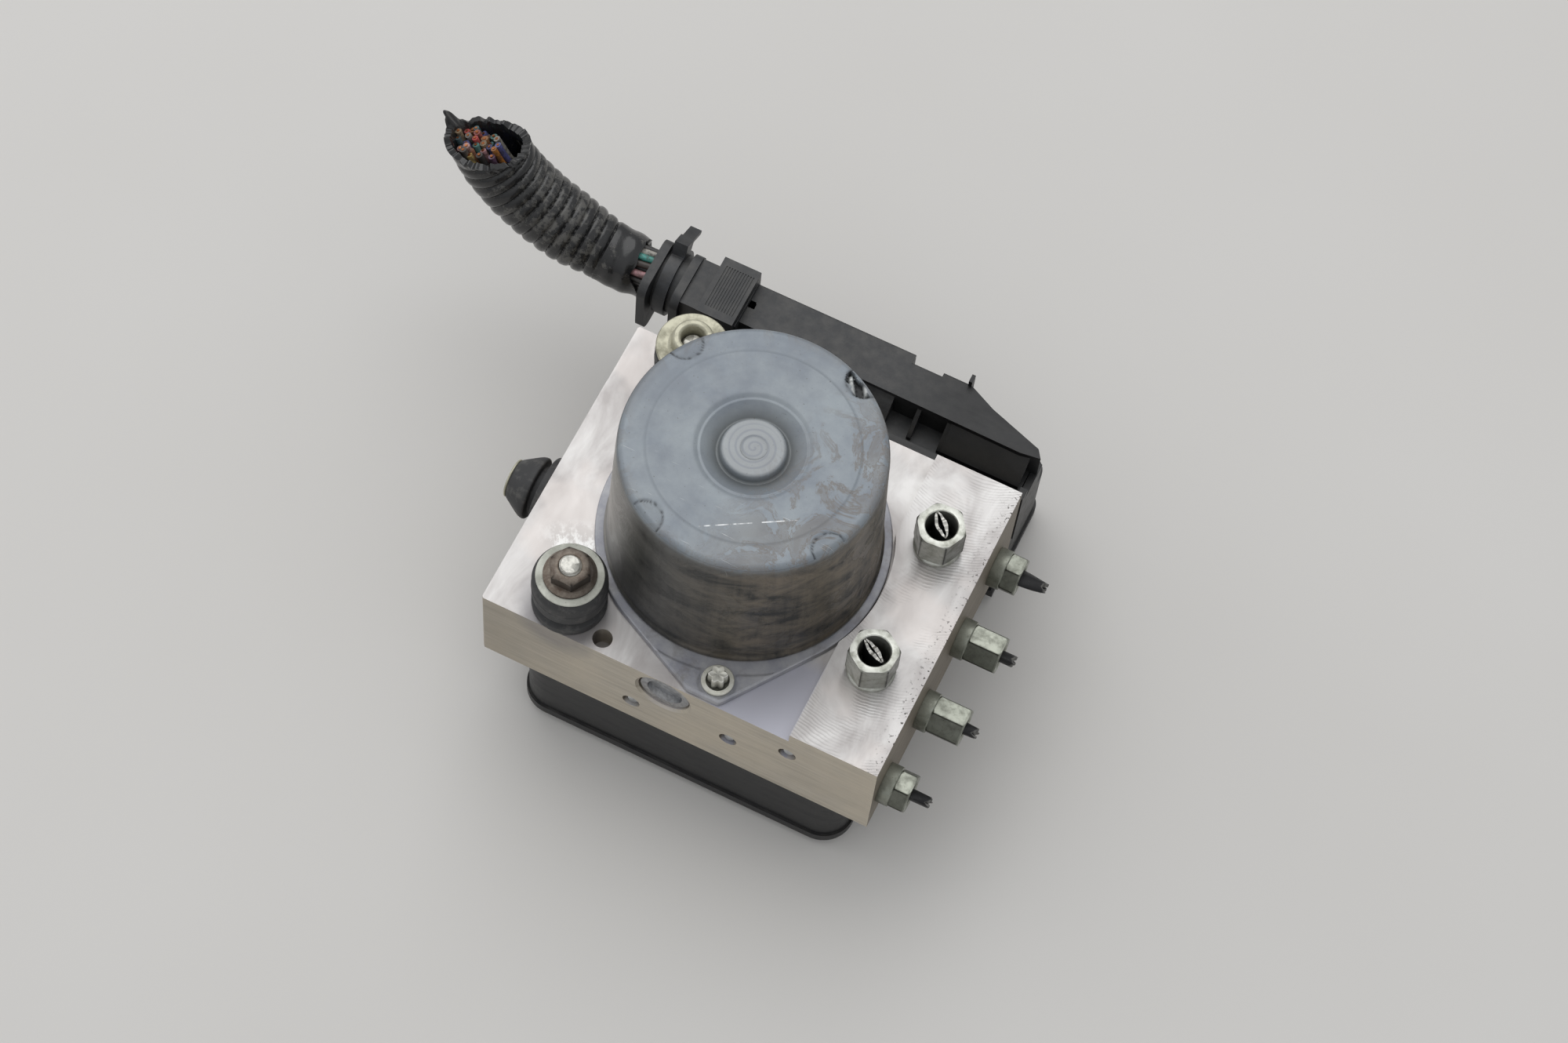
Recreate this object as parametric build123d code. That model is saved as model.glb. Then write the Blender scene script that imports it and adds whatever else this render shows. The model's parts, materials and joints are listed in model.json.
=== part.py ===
from build123d import *
import math
import os

# ABS brake module. Millimetres, +Z up. Origin: on the pump motor's axis, level with
# the underside of the control unit. X runs along the block's front face, Y to the back.

os.makedirs("parts", exist_ok=True)

# ---------------------------------------------------------------- driving dimensions
FIT = 0.02  # radial clearance of a piece that is pressed or screwed in
RUN = 0.05  # radial clearance of a piece that moves

BLOCK_X = (-52.7, 60.3)
BLOCK_Y = (-46.8, 43.5)
BLOCK_Z = (27.0, 58.0)
STRIP_X = 35.6
STRIP_TOP = 61.8
RELIEF_R = 39.6

FLANGE_R = 39.0
FLANGE_TOP = 60.0
FRONT_EAR = (12.4, -41.0)
BACK_EAR = (-11.9, 39.2)
CAN_FOOT_R = 36.1
CAN_RIM_R = 34.3
CAN_BORE_R = 32.0
CAN_TOP = 110.0
BOSS_R = 8.4

ECCENTRIC = 1.5
ECCENTRIC_R = 6.0
ECCENTRIC_RING_R = 9.0
PUMP_Z = 49.8
PISTON_R = 4.95
PISTON_END = 10.6

ACCUMULATORS = {"left": -18.0, "right": 22.0}
ACCUMULATOR_Z = 38.5
ACCUMULATOR_R = 9.0

VALVES = [(x, y) for y in (-32.0, -10.0) for x in (-27.0, -7.0, 14.0, 34.0)]

MASTER_PORTS = [(46.7, 19.2, 17.0), (46.3, -20.8, 8.0)]  # x, y, turn of the nut
WHEEL_PORTS = [
    # y, length of the hexagon, x of the pipe's tip, turn of the nut
    (-38.6, 4.5, 73.4, 8.0),
    (-15.4, 9.2, 76.3, 20.0),
    (7.8, 9.2, 77.7, 3.0),
    (31.0, 4.5, 75.4, 14.0),
]
WHEEL_Z = 40.5
PIPE_R = 2.375

BALL_HOLES = [(-8.9, 36.5), (19.1, 41.1), (35.7, 49.4)]  # x, z on the front face

FRONT_MOUNT = (-32.0, -37.3)
REAR_MOUNT = (-33.6, 36.3)
SIDE_MOUNT = (-5.7, 42.5)
MOUNT_R = 9.9
SPOT_DEPTH = 0.4  # the rear mount stands on a shallow milled step

ECU_X = (-42.2, 53.4)
ECU_Y = (-46.5, 73.2)
ECU_WIDE = (59.2, 40.5)  # x it reaches behind this y, under the connector
ECU_TOP = 27.0
ECU_SCREWS = [(-17.0, -41.0), (47.0, -38.0), (-33.0, 36.0), (46.0, 36.0)]

SHROUD_OUTLINE = [(-32, 47.5), (60, 47.5), (60, 61.8), (45, 66.6), (35, 71.5), (-32, 71.5)]
SHROUD_WALL = 2.0
PIN_ROWS = {57.0: 12, 65.0: 10}  # y of the row: pins in it
PIN_PITCH = 6.4
PINS = [(-22.0 + PIN_PITCH * i, y) for y, count in PIN_ROWS.items() for i in range(count)]
CAM_PEGS = [(-8.0, 37.0), (36.0, 37.0)]  # x, z on the shroud's near wall
LOCK_TRAVEL = 5.0
PLUG_LIFT = 4.0
NECK = (65.0, 48.5)  # y, z of the wire outlet's axis
HARNESS = [
    (-64.5, 65.0, 48.0), (-78.0, 65.0, 50.4), (-92.0, 65.2, 56.2), (-104.0, 65.6, 66.0),
    (-110.3, 66.0, 76.4),
]


# ---------------------------------------------------------------- helpers
def block(x, y, z):
    """Box between three (low, high) pairs."""
    size = Box(x[1] - x[0], y[1] - y[0], z[1] - z[0])
    return Pos((x[0] + x[1]) / 2, (y[0] + y[1]) / 2, (z[0] + z[1]) / 2) * size


def at(origin, direction=(0, 0, 1)):
    """Placement whose local +Z points along direction."""
    return Plane(origin=origin, z_dir=direction).location


def rod(radius, origin, direction, length):
    """Round bar that starts at origin and runs along direction."""
    low = (Align.CENTER, Align.CENTER, Align.MIN)
    return at(origin, direction) * Cylinder(radius, length, align=low)


def turned(profile, origin=(0, 0, 0), direction=(0, 0, 1)):
    """Solid of revolution from (radius, height) points."""
    face = make_face(Polyline(*profile, close=True))
    return at(origin, direction) * revolve(Plane.XZ * face, Axis.Z)


def ring(inner, outer, z):
    """Upright ring between two heights on the motor's axis."""
    return turned([(inner, z[0]), (outer, z[0]), (outer, z[1]), (inner, z[1])])


def hexagon(flats, origin, direction, length, turn=0.0):
    """Hexagonal bar with its flats that far apart."""
    face = Rot(0, 0, turn) * RegularPolygon(flats / 2, 6, major_radius=False)
    return at(origin, direction) * extrude(face, length)


def slab(points, plane, low, high):
    """Plate of a polygon's outline between two offsets of a plane."""
    face = make_face(Polyline(*points, close=True))
    return plane.offset(low).location * extrude(face, high - low)


def coil(radius, wire, turns, origin, direction, length):
    """Compression spring of square wire that fills the given length."""
    rise = length - 1.1 * wire
    path = Helix(rise / turns, rise, radius)
    section = Plane(origin=path @ 0, z_dir=path % 0) * Rectangle(wire, wire)
    wound = sweep(section, path=path, is_frenet=True)
    return at(origin, direction) * Pos(0, 0, 0.55 * wire) * wound


def together(pieces):
    """One body of pieces that run into each other."""
    pieces = list(pieces)
    body = pieces[0]
    for piece in pieces[1:]:
        body = body + piece
    return body


def group(pieces):
    """Separate like pieces that share one node."""
    return Compound(children=[solid for piece in pieces for solid in piece.solids()])


parts = {}

# ---------------------------------------------------------------- hydraulic block
body = block(BLOCK_X, BLOCK_Y, BLOCK_Z)
body += block((STRIP_X, BLOCK_X[1]), BLOCK_Y, (BLOCK_Z[1], STRIP_TOP))
body -= rod(RELIEF_R, (0, 0, BLOCK_Z[1]), (0, 0, 1), 5)
body -= rod(13.0, (0, 0, 53), (0, 0, 1), 6)
body -= rod(11.0, (0, 0, 42), (0, 0, 1), 12)
body -= rod(5.5, (0, 0, 36.5), (0, 0, 1), 6)
body = chamfer(body.edges().filter_by(Axis.Z).sort_by(Axis.X)[0:2], 0.5)

PLUG_SEAT = 8.0
for side, face_y in ((-1, BLOCK_Y[0]), (1, BLOCK_Y[1])):
    depth = abs(face_y)
    body -= rod(5.0, (0, 0, PUMP_Z), (0, side, 0), depth)
    body -= rod(7.4 + FIT, (0, face_y - side * PLUG_SEAT, PUMP_Z), (0, side, 0), PLUG_SEAT)
    mouth = [(0, 0), (7.3, 0), (8.1, 0.8), (8.1, 1), (0, 1)]
    body -= turned(mouth, (0, face_y - side * 0.8, PUMP_Z), (0, side, 0))
for x in ACCUMULATORS.values():
    body -= rod(ACCUMULATOR_R, (x, BLOCK_Y[1], ACCUMULATOR_Z), (0, -1, 0), 24)
    body -= rod(10.0 + FIT, (x, BLOCK_Y[1], ACCUMULATOR_Z), (0, -1, 0), 3)
for x, y in VALVES:
    body -= rod(5.0 + FIT, (x, y, BLOCK_Z[0]), (0, 0, 1), 10)
    body -= rod(1.6, (x, y, BLOCK_Z[0] + 9), (0, 0, 1), 4)
for x, y, _ in MASTER_PORTS:
    body -= rod(5.6, (x, y, STRIP_TOP), (0, 0, -1), 13)
    body -= rod(1.8, (x, y, STRIP_TOP - 12), (0, 0, -1), 6)
for y, _, _, _ in WHEEL_PORTS:
    body -= rod(4.5, (BLOCK_X[1], y, WHEEL_Z), (-1, 0, 0), 12)
    body -= rod(1.6, (BLOCK_X[1] - 11, y, WHEEL_Z), (-1, 0, 0), 6)
for x, z in BALL_HOLES:
    body -= rod(2.5 + FIT, (x, BLOCK_Y[0], z), (0, 1, 0), 4.7)
    body -= rod(1.5, (x, BLOCK_Y[0], z), (0, 1, 0), 8.5)
for x, y in (FRONT_EAR, BACK_EAR):
    body -= rod(2.5, (x, y, BLOCK_Z[1]), (0, 0, -1), 10)
for x, y in (FRONT_MOUNT, REAR_MOUNT):
    body -= rod(3.0 + FIT, (x, y, BLOCK_Z[1]), (0, 0, -1), 12)
for x, y in ECU_SCREWS:
    body -= rod(2.0 + FIT, (x, y, BLOCK_Z[0]), (0, 0, 1), 9)
body -= rod(3.0 + FIT, (BLOCK_X[0], *SIDE_MOUNT), (1, 0, 0), 12)
body -= rod(2.65, (-19.6, -42.9, BLOCK_Z[1]), (0, 0, -1), 8)
spot_face = block((-60, -22), (25.0, 50), (BLOCK_Z[1] - SPOT_DEPTH, 60))
body -= spot_face - rod(FLANGE_R + 0.3, (0, 0, 50), (0, 0, 1), 15)
parts["hydraulic_block"] = body


# ---------------------------------------------------------------- pump motor
def ear_plate(radius, ear, ear_r):
    """Outline of the flange drawn out to one screw ear."""
    edges = Circle(radius).edges() + (Pos(*ear) * Circle(ear_r)).edges()
    return make_hull(edges)


front_lobe = (FRONT_EAR[0] - 1.6, FRONT_EAR[1])
trim = Rectangle(120, 120, align=(Align.CENTER, Align.MIN))
flange = ear_plate(FLANGE_R, front_lobe, 6.9) + ear_plate(FLANGE_R, BACK_EAR, 4.2)
flange &= Pos(0, BLOCK_Y[0] + 0.4) * trim
housing = Pos(0, 0, BLOCK_Z[1]) * extrude(flange, FLANGE_TOP - BLOCK_Z[1])
housing += turned([
    (0, 109.4), (7.7, 109.4), (BOSS_R, 108.7), (8.8, 107.4), (10.0, 107.0), (13.0, 108.6),
    (14.4, CAN_TOP), (32.2, CAN_TOP), (33.5, 109.6), (CAN_RIM_R, 108.4), (CAN_FOOT_R, 62.2),
    (36.5, 60.8), (36.6, FLANGE_TOP), (36.6, 59.0), (CAN_BORE_R, 59.0), (CAN_BORE_R, 107.6),
    (14.4, 107.6), (12.4, 105.2), (8.6, 105.2), (8.6, 101.0), (6.8, 101.0), (6.8, 107.4),
    (0, 107.4),
])
housing -= rod(CAN_BORE_R, (0, 0, 57), (0, 0, 1), 4)
housing -= ring(30.0, 34.0, (57.0, 59.6))
for x, y in (FRONT_EAR, BACK_EAR):
    housing -= rod(2.65, (x, y, 57), (0, 0, 1), 4)
# Two shallow pads stand on the flange, one on each side of the front screw.
pad_edge = ear_plate(FLANGE_R - 0.4, front_lobe, 6.5) & (Pos(0, BLOCK_Y[0] + 0.8) * trim)
pad_sides = [
    [(-6.0, -39.6), (-0.9, -40.7), (4.6, -40.3), (7.1, -40.5), (8.0, -43.1), (7.4, -48), (-6, -48)],
    [(17.4, -42.5), (17.4, -39.4), (16.2, -37.5), (17.0, -36.4), (23.6, -32.4), (29.8, -25.4), (36, -40)],
]
for corners in pad_sides:
    pad = make_face(Polyline(*corners, close=True)) & pad_edge
    housing += Pos(0, 0, FLANGE_TOP - 0.2) * extrude(pad, 0.5)
parts["motor_housing"] = housing

magnets = ring(27.6, CAN_BORE_R, (72, 100))
magnets -= block((-9, 9), (-40, 40), (70, 102))
parts["motor_magnets"] = group([magnets])

shaft = turned([
    (0, 38), (2.6, 38), (3, 38.4), (3, 45.4), (4, 45.4), (4, 101.2), (3, 101.2), (3, 106.2),
    (0, 106.2),
])
shaft += rod(ECCENTRIC_R, (ECCENTRIC, 0, 45.4), (0, 0, 1), 7)
parts["armature_shaft"] = shaft

SLOTS = 12
SLOT_R = 20.5
slot_angles = [360 / SLOTS * i for i in range(SLOTS)]
core = ring(4.0, 26.9, (74, 98))
for angle in slot_angles:
    core -= Rot(0, 0, angle) * rod(3.2, (SLOT_R, 0, 73), (0, 0, 1), 26)
    core -= Rot(0, 0, angle) * block((SLOT_R, 28), (-0.9, 0.9), (73, 99))
parts["armature_core"] = core

windings = [ring(10.0, 24.0, (70.2, 74.0)), ring(10.0, 24.0, (98.0, 101.6))]
for angle in slot_angles:
    windings.append(Rot(0, 0, angle) * rod(3.1, (SLOT_R, 0, 72), (0, 0, 1), 28))
parts["armature_windings"] = together(windings)

commutator = ring(4.0, 9.0, (60.6, 69.8))
for angle in slot_angles:
    commutator -= Rot(0, 0, angle) * block((8.3, 10), (-0.25, 0.25), (60, 68.8))
parts["commutator"] = commutator

parts["top_bearing"] = ring(3.0 + RUN, 6.8, (101.4, 106.8))

BALL_PITCH = 8.75
race = ring(10.6, 13.0, (53, 58))
race -= Pos(0, 0, 55.5) * Torus(BALL_PITCH, 2.26)
parts["main_bearing_outer"] = race
inner = ring(4.0, 6.95, (53.2, 57.8))
for i in range(8):
    inner += Rot(0, 0, 45 * i) * Pos(BALL_PITCH, 0, 55.5) * Sphere(2.2)
parts["main_bearing_inner"] = inner

wall = [(ECCENTRIC_R + FIT, 0), (ECCENTRIC_RING_R, 0), (ECCENTRIC_RING_R, 6), (ECCENTRIC_R + FIT, 6)]
parts["eccentric_ring"] = turned(wall, (ECCENTRIC, 0, 46.0))

holder = ring(12.0, 31.9, (58.0, 60.4))
for side in (-1, 1):
    near, far = sorted((side * 12.0, side * 28.0))
    holder += block((near, far), (-4, 4), (60.0, 69.0))
    near, far = sorted((side * 11.0, side * 27.0))
    holder -= block((near, far), (-2.6, 2.6), (62.5, 67.5))
parts["brush_holder"] = holder

brushes = []
brush_springs = []
for side in (-1, 1):
    near, far = sorted((side * 8.8, side * 20.0))
    brush = block((near, far), (-2.55, 2.55), (62.55, 67.45))
    brushes.append(brush - rod(9.0 + FIT, (0, 0, 60), (0, 0, 1), 10))
    brush_springs.append(coil(1.9, 0.6, 5, (side * 20.0, 0, 65.0), (side, 0, 0), 7.0))
parts["brushes"] = group(brushes)
parts["brush_springs"] = group(brush_springs)

parts["motor_seal"] = turned([
    (32.2, 58.4), (32.6, 58), (33.4, 58), (33.9, 58.4), (33.9, 59.2), (33.4, 59.6),
    (32.6, 59.6), (32.2, 59.2),
])


def star_screw(x, y):
    """Flanged screw with a six-lobed head."""
    screw = rod(4.3, (x, y, FLANGE_TOP), (0, 0, 1), 1.1)
    screw += rod(2.45, (x, y, 49), (0, 0, 1), 16)
    for i in range(6):
        lobe = 2.25 * math.cos(math.radians(60 * i)), 2.25 * math.sin(math.radians(60 * i))
        screw += rod(0.75, (x + lobe[0], y + lobe[1], FLANGE_TOP), (0, 0, 1), 5)
    return screw


parts["motor_screws"] = group(star_screw(x, y) for x, y in (FRONT_EAR, BACK_EAR))


# ---------------------------------------------------------------- mounts
def isolator(radius, height, origin, direction):
    """Rubber bobbin with a groove near its foot."""
    groove = radius - 1.9
    return turned([
        (3.1, 0), (radius - 0.4, 0), (radius, 0.4), (radius, 3.2), (groove, 3.8),
        (groove, 5.8), (radius, 6.6), (radius, height - 1.2), (radius - 1.0, height),
        (3.1, height),
    ], origin, direction)


TOP = BLOCK_Z[1]
front = (*FRONT_MOUNT, TOP)
rear = (*REAR_MOUNT, TOP - SPOT_DEPTH)
side = (BLOCK_X[0], *SIDE_MOUNT)
parts["front_mount_rubber"] = isolator(MOUNT_R, 15.4, front, (0, 0, 1))
parts["rear_mount_rubber"] = isolator(MOUNT_R, 16.0, rear, (0, 0, 1))
parts["side_mount_rubber"] = turned([
    (3.1, 0), (9.9, 0), (10.3, 0.4), (10.3, 2.7), (9.9, 3.1), (6.6, 3.1), (6.6, 5.0),
    (8.6, 5.0), (8.8, 5.3), (8.8, 6.2), (8.2, 7.4), (5.6, 11.6), (5.2, 12.0), (3.1, 12.0),
], side, (-1, 0, 0))

washer = [(3.1, 15.4), (8.9, 15.4), (8.9, 16.0), (3.1, 16.0)]
parts["front_mount_washer"] = turned(washer, front)

nut = turned([(3.05, 16.0), (7.0, 16.0), (7.0, 16.8), (5.4, 17.8), (3.05, 17.8)], front)
nut += hexagon(10.0, (*FRONT_MOUNT, TOP + 17.2), (0, 0, 1), 4.2, 12)
nut -= rod(3.0 + FIT, front, (0, 0, 1), 30)
parts["front_mount_nut"] = nut

parts["mount_studs"] = group([
    rod(3.0, (*FRONT_MOUNT, 46.4), (0, 0, 1), 34.0),
    rod(3.0, (*REAR_MOUNT, 46.4), (0, 0, 1), 30.0),
    rod(3.0, (BLOCK_X[0] + 11.6, *SIDE_MOUNT), (-1, 0, 0), 24.0),
])

parts["rear_mount_bush"] = turned([
    (3.3, 16.0), (9.5, 16.0), (9.8, 16.4), (9.8, 17.0), (9.5, 17.4), (6.6, 17.4),
    (5.7, 18.2), (5.5, 21.4), (5.0, 22.0), (3.9, 22.0), (3.3, 21.4),
], rear)
parts["side_mount_bush"] = turned([
    (3.1, 12.0), (5.2, 12.0), (5.5, 12.3), (5.2, 12.7), (3.1, 12.7),
], side, (-1, 0, 0))


# ---------------------------------------------------------------- hydraulic fittings
def tube_nut(origin, direction, flats, shank, collar, bore, turn):
    """Pipe nut: threaded shank below the origin, collar and hexagon above it."""
    shank_r, shank_length = shank
    collar_r, collar_length = collar
    bore_r, top = bore
    body = hexagon(flats, origin, direction, top, turn)
    mask_r = flats / 2 * 1.11
    body &= turned([
        (0, 0), (collar_r, 0), (collar_r, collar_length), (mask_r, collar_length),
        (mask_r, top - 0.8), (flats / 2 * 0.99, top), (0, top),
    ], origin, direction)
    ring_part = turned([
        (PIPE_R + FIT, -shank_length), (shank_r, -shank_length), (shank_r, 0),
        (collar_r, 0), (collar_r, collar_length), (PIPE_R + FIT, collar_length),
    ], origin, direction)
    body += ring_part
    body -= at(origin, direction) * Pos(0, 0, top / 2 + 1.2) * Cylinder(bore_r, top)
    body -= at(origin, direction) * Cylinder(PIPE_R + FIT, 60)
    return body


def pinched_pipe(origin, direction, flat_from, tip, width, turn):
    """Brake pipe, round in the port and squeezed flat where it was cut."""
    place = at(origin, direction) * Rot(0, 0, turn)
    low = (Align.CENTER, Align.CENTER, Align.MIN)
    pipe = Pos(0, 0, -11) * Cylinder(PIPE_R, 11 + flat_from, align=low)
    pipe += Pos(0, 0, flat_from - 0.5) * Box(width, 2.2, tip - flat_from + 0.5, align=low)
    pipe -= Pos(0, 0, tip - 3) * Box(width - 1.8, 0.6, 6, align=low)
    return place * pipe


up = (0, 0, 1)
out = (1, 0, 0)
master_nuts = []
wheel_nuts = []
pipes = []
for x, y, turn in MASTER_PORTS:
    seat = (x, y, STRIP_TOP)
    master_nuts.append(tube_nut(seat, up, 12.0, (5.6 - FIT, 12), (6.5, 1.2), (4.1, 12.0), turn))
    pipes.append(pinched_pipe(seat, up, 1.8, 11.0, 7.0, turn + 35))
for y, hexagon_length, tip, turn in WHEEL_PORTS:
    seat = (BLOCK_X[1], y, WHEEL_Z)
    top = 3.5 + hexagon_length
    wheel_nuts.append(tube_nut(seat, out, 10.0, (4.5 - FIT, 11), (5.6, 3.5), (3.3, top), turn))
    pipes.append(pinched_pipe(seat, out, 2.0, tip - BLOCK_X[1], 5.8, turn + 30))
parts["master_tube_nuts"] = group(master_nuts)
parts["wheel_tube_nuts"] = group(wheel_nuts)
parts["cut_brake_pipes"] = group(pipes)

balls = [Pos(x, BLOCK_Y[0] + 2.7, z) * Sphere(2.5) for x, z in BALL_HOLES]
parts["sealing_balls"] = group(balls)

plugs = []
for name, sign, face_y in (("front", -1, BLOCK_Y[0]), ("rear", 1, BLOCK_Y[1])):
    seat = face_y - sign * PLUG_SEAT
    plugs.append(turned([
        (0, -3), (2.5, -3), (2.5, 0), (7.4, 0), (7.4, 6.6), (6.9, 7.0), (5.0, 7.0),
        (4.6, 5.4), (0, 5.4),
    ], (0, seat, PUMP_Z), (0, sign, 0)))
    length = 15.4
    parts[f"pump_piston_{name}"] = turned([
        (0, 0), (2.4, 0), (3.0, 0.6), (3.0, 2.8), (PISTON_R, 3.2), (PISTON_R, length),
        (0, length),
    ], (0, sign * PISTON_END, PUMP_Z), (0, sign, 0))
    start = sign * (PISTON_END + length)
    parts[f"pump_spring_{name}"] = coil(
        3.7, 1.0, 4, (0, start, PUMP_Z), (0, sign, 0), abs(seat) - abs(start))
parts["pump_plugs"] = group(plugs)

caps = []
for name, x in ACCUMULATORS.items():
    foot = BLOCK_Y[1] - 23.9
    back = (0, 1, 0)
    parts[f"accumulator_piston_{name}"] = turned([
        (0, 0), (8.4, 0), (ACCUMULATOR_R - RUN, 0.6), (ACCUMULATOR_R - RUN, 8), (7, 8),
        (7, 3), (0, 3),
    ], (x, foot, ACCUMULATOR_Z), back)
    seat = BLOCK_Y[1] - 3
    parts[f"accumulator_spring_{name}"] = coil(
        5.6, 1.3, 4, (x, foot + 3, ACCUMULATOR_Z), back, seat - foot - 3)
    caps.append(turned([
        (0.8, 0), (10, 0), (10, 2.6), (9.6, 3), (6.5, 3), (6.0, 1.4), (0.8, 1.4),
    ], (x, seat, ACCUMULATOR_Z), back))
parts["accumulator_caps"] = group(caps)

# ---------------------------------------------------------------- solenoid valves
cartridge = [
    (0, 8.2), (2.6, 8.2), (3.2, 8.8), (3.2, 27), (5.0, 27), (5.0, 36.4), (0, 36.4),
    (0, 22), (2.3, 22), (2.3, 9.2), (0, 9.2),
]
cartridges = []
coils = []
for number, (x, y) in enumerate(VALVES, 1):
    cartridges.append(turned(cartridge, (x, y, 0)))
    plunger = turned([(0, 9.4), (1.6, 9.4), (2.25, 10), (2.25, 21.7), (0, 21.7)], (x, y, 0))
    parts[f"valve_plunger_{number}"] = plunger
    solenoid = turned([
        (3.2 + RUN, 9), (7.5, 9), (7.5, 11), (6.8, 11), (6.8, 22), (7.5, 22), (7.5, 24),
        (3.2 + RUN, 24),
    ], (x, y, 0))
    for side in (-1, 1):
        solenoid += block((x + side * 5 - 0.5, x + side * 5 + 0.5), (y + 4, y + 5), (6.6, 9.5))
    coils.append(solenoid)
parts["valve_cartridges"] = group(cartridges)
parts["solenoid_coils"] = group(coils)


# ---------------------------------------------------------------- control unit
def tray(inset, z):
    """Plate of the control unit's plan outline, drawn in by inset."""
    left, right, wide = ECU_X[0] + inset, ECU_X[1] - inset, ECU_WIDE[0] - inset
    front, step, back = ECU_Y[0] + inset, ECU_WIDE[1] + inset, ECU_Y[1] - inset
    corners = [(left, front), (right, front), (right, step), (wide, step), (wide, back), (left, back)]
    face = make_face(Polyline(*corners, close=True))
    front_corners = face.vertices().filter_by_position(Axis.Y, front - 0.1, front + 0.1)
    face = fillet(front_corners, 8 - inset)
    back_corners = face.vertices().filter_by_position(Axis.Y, back - 0.1, back + 0.1)
    face = fillet(back_corners, 5 - inset)
    return Pos(0, 0, z[0]) * extrude(face, z[1] - z[0])


housing = tray(0, (3.0, ECU_TOP)) + tray(-0.7, (3.0, 6.0))
housing -= tray(2.2, (2.0, 6.6)) + tray(4.0, (6.0, 24.0))
for x, y in VALVES:
    housing -= rod(3.2 + RUN, (x, y, 20), (0, 0, 1), 10)
for x, y in ECU_SCREWS:
    housing += rod(4.0, (x, y, 3.0), (0, 0, 1), 22)
    housing -= rod(2.2, (x, y, 2.0), (0, 0, 1), 30)

def shroud_prism(inset, z):
    """Upright prism of the shroud's outline, drawn in by inset."""
    face = make_face(Polyline(*SHROUD_OUTLINE, close=True))
    if inset:
        face = offset(face, -inset, kind=Kind.INTERSECTION)
    return Pos(0, 0, z[0]) * extrude(face, z[1] - z[0])


shroud = shroud_prism(0, (26.0, 50.0)) - shroud_prism(SHROUD_WALL, (ECU_TOP, 51.0))
shroud -= block((-40, 70), (51.0, 80), (45.9, 60))
shroud -= block((-40, -29), (51.0, 80), (39.5, 60))
for x, z in CAM_PEGS:
    shroud += rod(1.5, (x, SHROUD_OUTLINE[0][1] + 1, z), (0, 1, 0), 2.4)
housing += shroud
pins = [block((x - 0.5, x + 0.5), (y - 0.5, y + 0.5), (6.6, 36.0)) for x, y in PINS]
for pin in pins:
    housing -= pin


def gasket_ring(z):
    """Seal that runs round the valve field."""
    return block((-37.2, 43.0), (-38.6, 4.0), z) - block((-35.6, 41.4), (-37.1, 2.4), z)


housing -= gasket_ring((26.0, 27.5))
parts["ecu_housing"] = housing
parts["connector_pins"] = group(pins)
parts["ecu_gasket"] = gasket_ring((26.0, ECU_TOP))

cover = tray(0.3, (0.0, 3.0))
cover = fillet(cover.faces().sort_by(Axis.Z)[0].edges(), 2.4)
screws = []
for x, y in ECU_SCREWS:
    cover -= rod(3.9, (x, y, -1), (0, 0, 1), 2.6)
    cover -= rod(2.2, (x, y, -1), (0, 0, 1), 6)
    screw = rod(3.6, (x, y, 0.2), (0, 0, 1), 1.4) + rod(2.0, (x, y, 1.0), (0, 0, 1), 34.5)
    screws.append(screw - hexagon(3.0, (x, y, 0), (0, 0, 1), 1.1))
parts["ecu_cover"] = cover
parts["ecu_screws"] = group(screws)

board = tray(2.4, (5.0, 6.6))
for x, y in ECU_SCREWS:
    board -= rod(4.2, (x, y, 4), (0, 0, 1), 4)
parts["circuit_board"] = board

# ---------------------------------------------------------------- wiring plug
plug = shroud_prism(SHROUD_WALL + 0.2, (28.5, 46.0))
plug &= block((-29.4, 70), (51.2, 80), (20, 50))
for y, count in PIN_ROWS.items():
    plug -= block((-24.0, -20.0 + PIN_PITCH * (count - 1)), (y - 0.8, y + 0.8), (28.0, 42.0))
parts["plug_body"] = plug

hood_outline = [
    (-30, 58.6), (54, 57.6), (59.8, 58.4), (58.1, 60.9), (42.3, 66.2), (33.5, 70.4),
    (26, 70.4), (26, 69.2), (17, 69.2), (17, 71.9), (-30, 71.9),
]
hood = slab(hood_outline, Plane.XY, 46.0, 55.0)
hood = fillet(hood.faces().sort_by(Axis.Z)[-1].edges().filter_by(Axis.X), 0.8)
hollow = offset(make_face(Polyline(*hood_outline, close=True)), -1.6, kind=Kind.INTERSECTION)
slope = [(58.9, 54.4), (51.6, 47.8), (51.6, 46), (53, 46), (53, 47.2), (58.9, 52.4)]
web = [(58.9, 46), (58.9, 54.0), (51.8, 47.3), (51.8, 46)]
hood += slab(slope, Plane.YZ, -18.0, 17.0)
hood += slab(slope, Plane.YZ, 34.0, 57.0)
for x in (16.4, 24.5, 33.4):
    hood += slab(web, Plane.YZ, x - 0.6, x + 0.6)
hood += block((33.3, 34.3), (69.6, 72.0), (50.0, 57.5))
neck = block((-46.6, -29.9), (55.7, 70.7), (40.2, 56.9))
neck += rod(8.5, (-57.0, *NECK), (1, 0, 0), 9)
for x, near, low, high in ((-58.2, 53.0, 36.6, 58.6), (-49.0, 54.0, 38.5, 58.0)):
    plate = block((x, x + 2.5), (near, 72.2), (low, high))
    neck += fillet(plate.edges().filter_by(Axis.X), 4.0)
hood += neck
hood -= Pos(0, 0, 46.0) * extrude(hollow, 7.4)
hood -= rod(6.6, (-62.0, *NECK), (1, 0, 0), 34)
parts["plug_cover"] = hood

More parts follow.
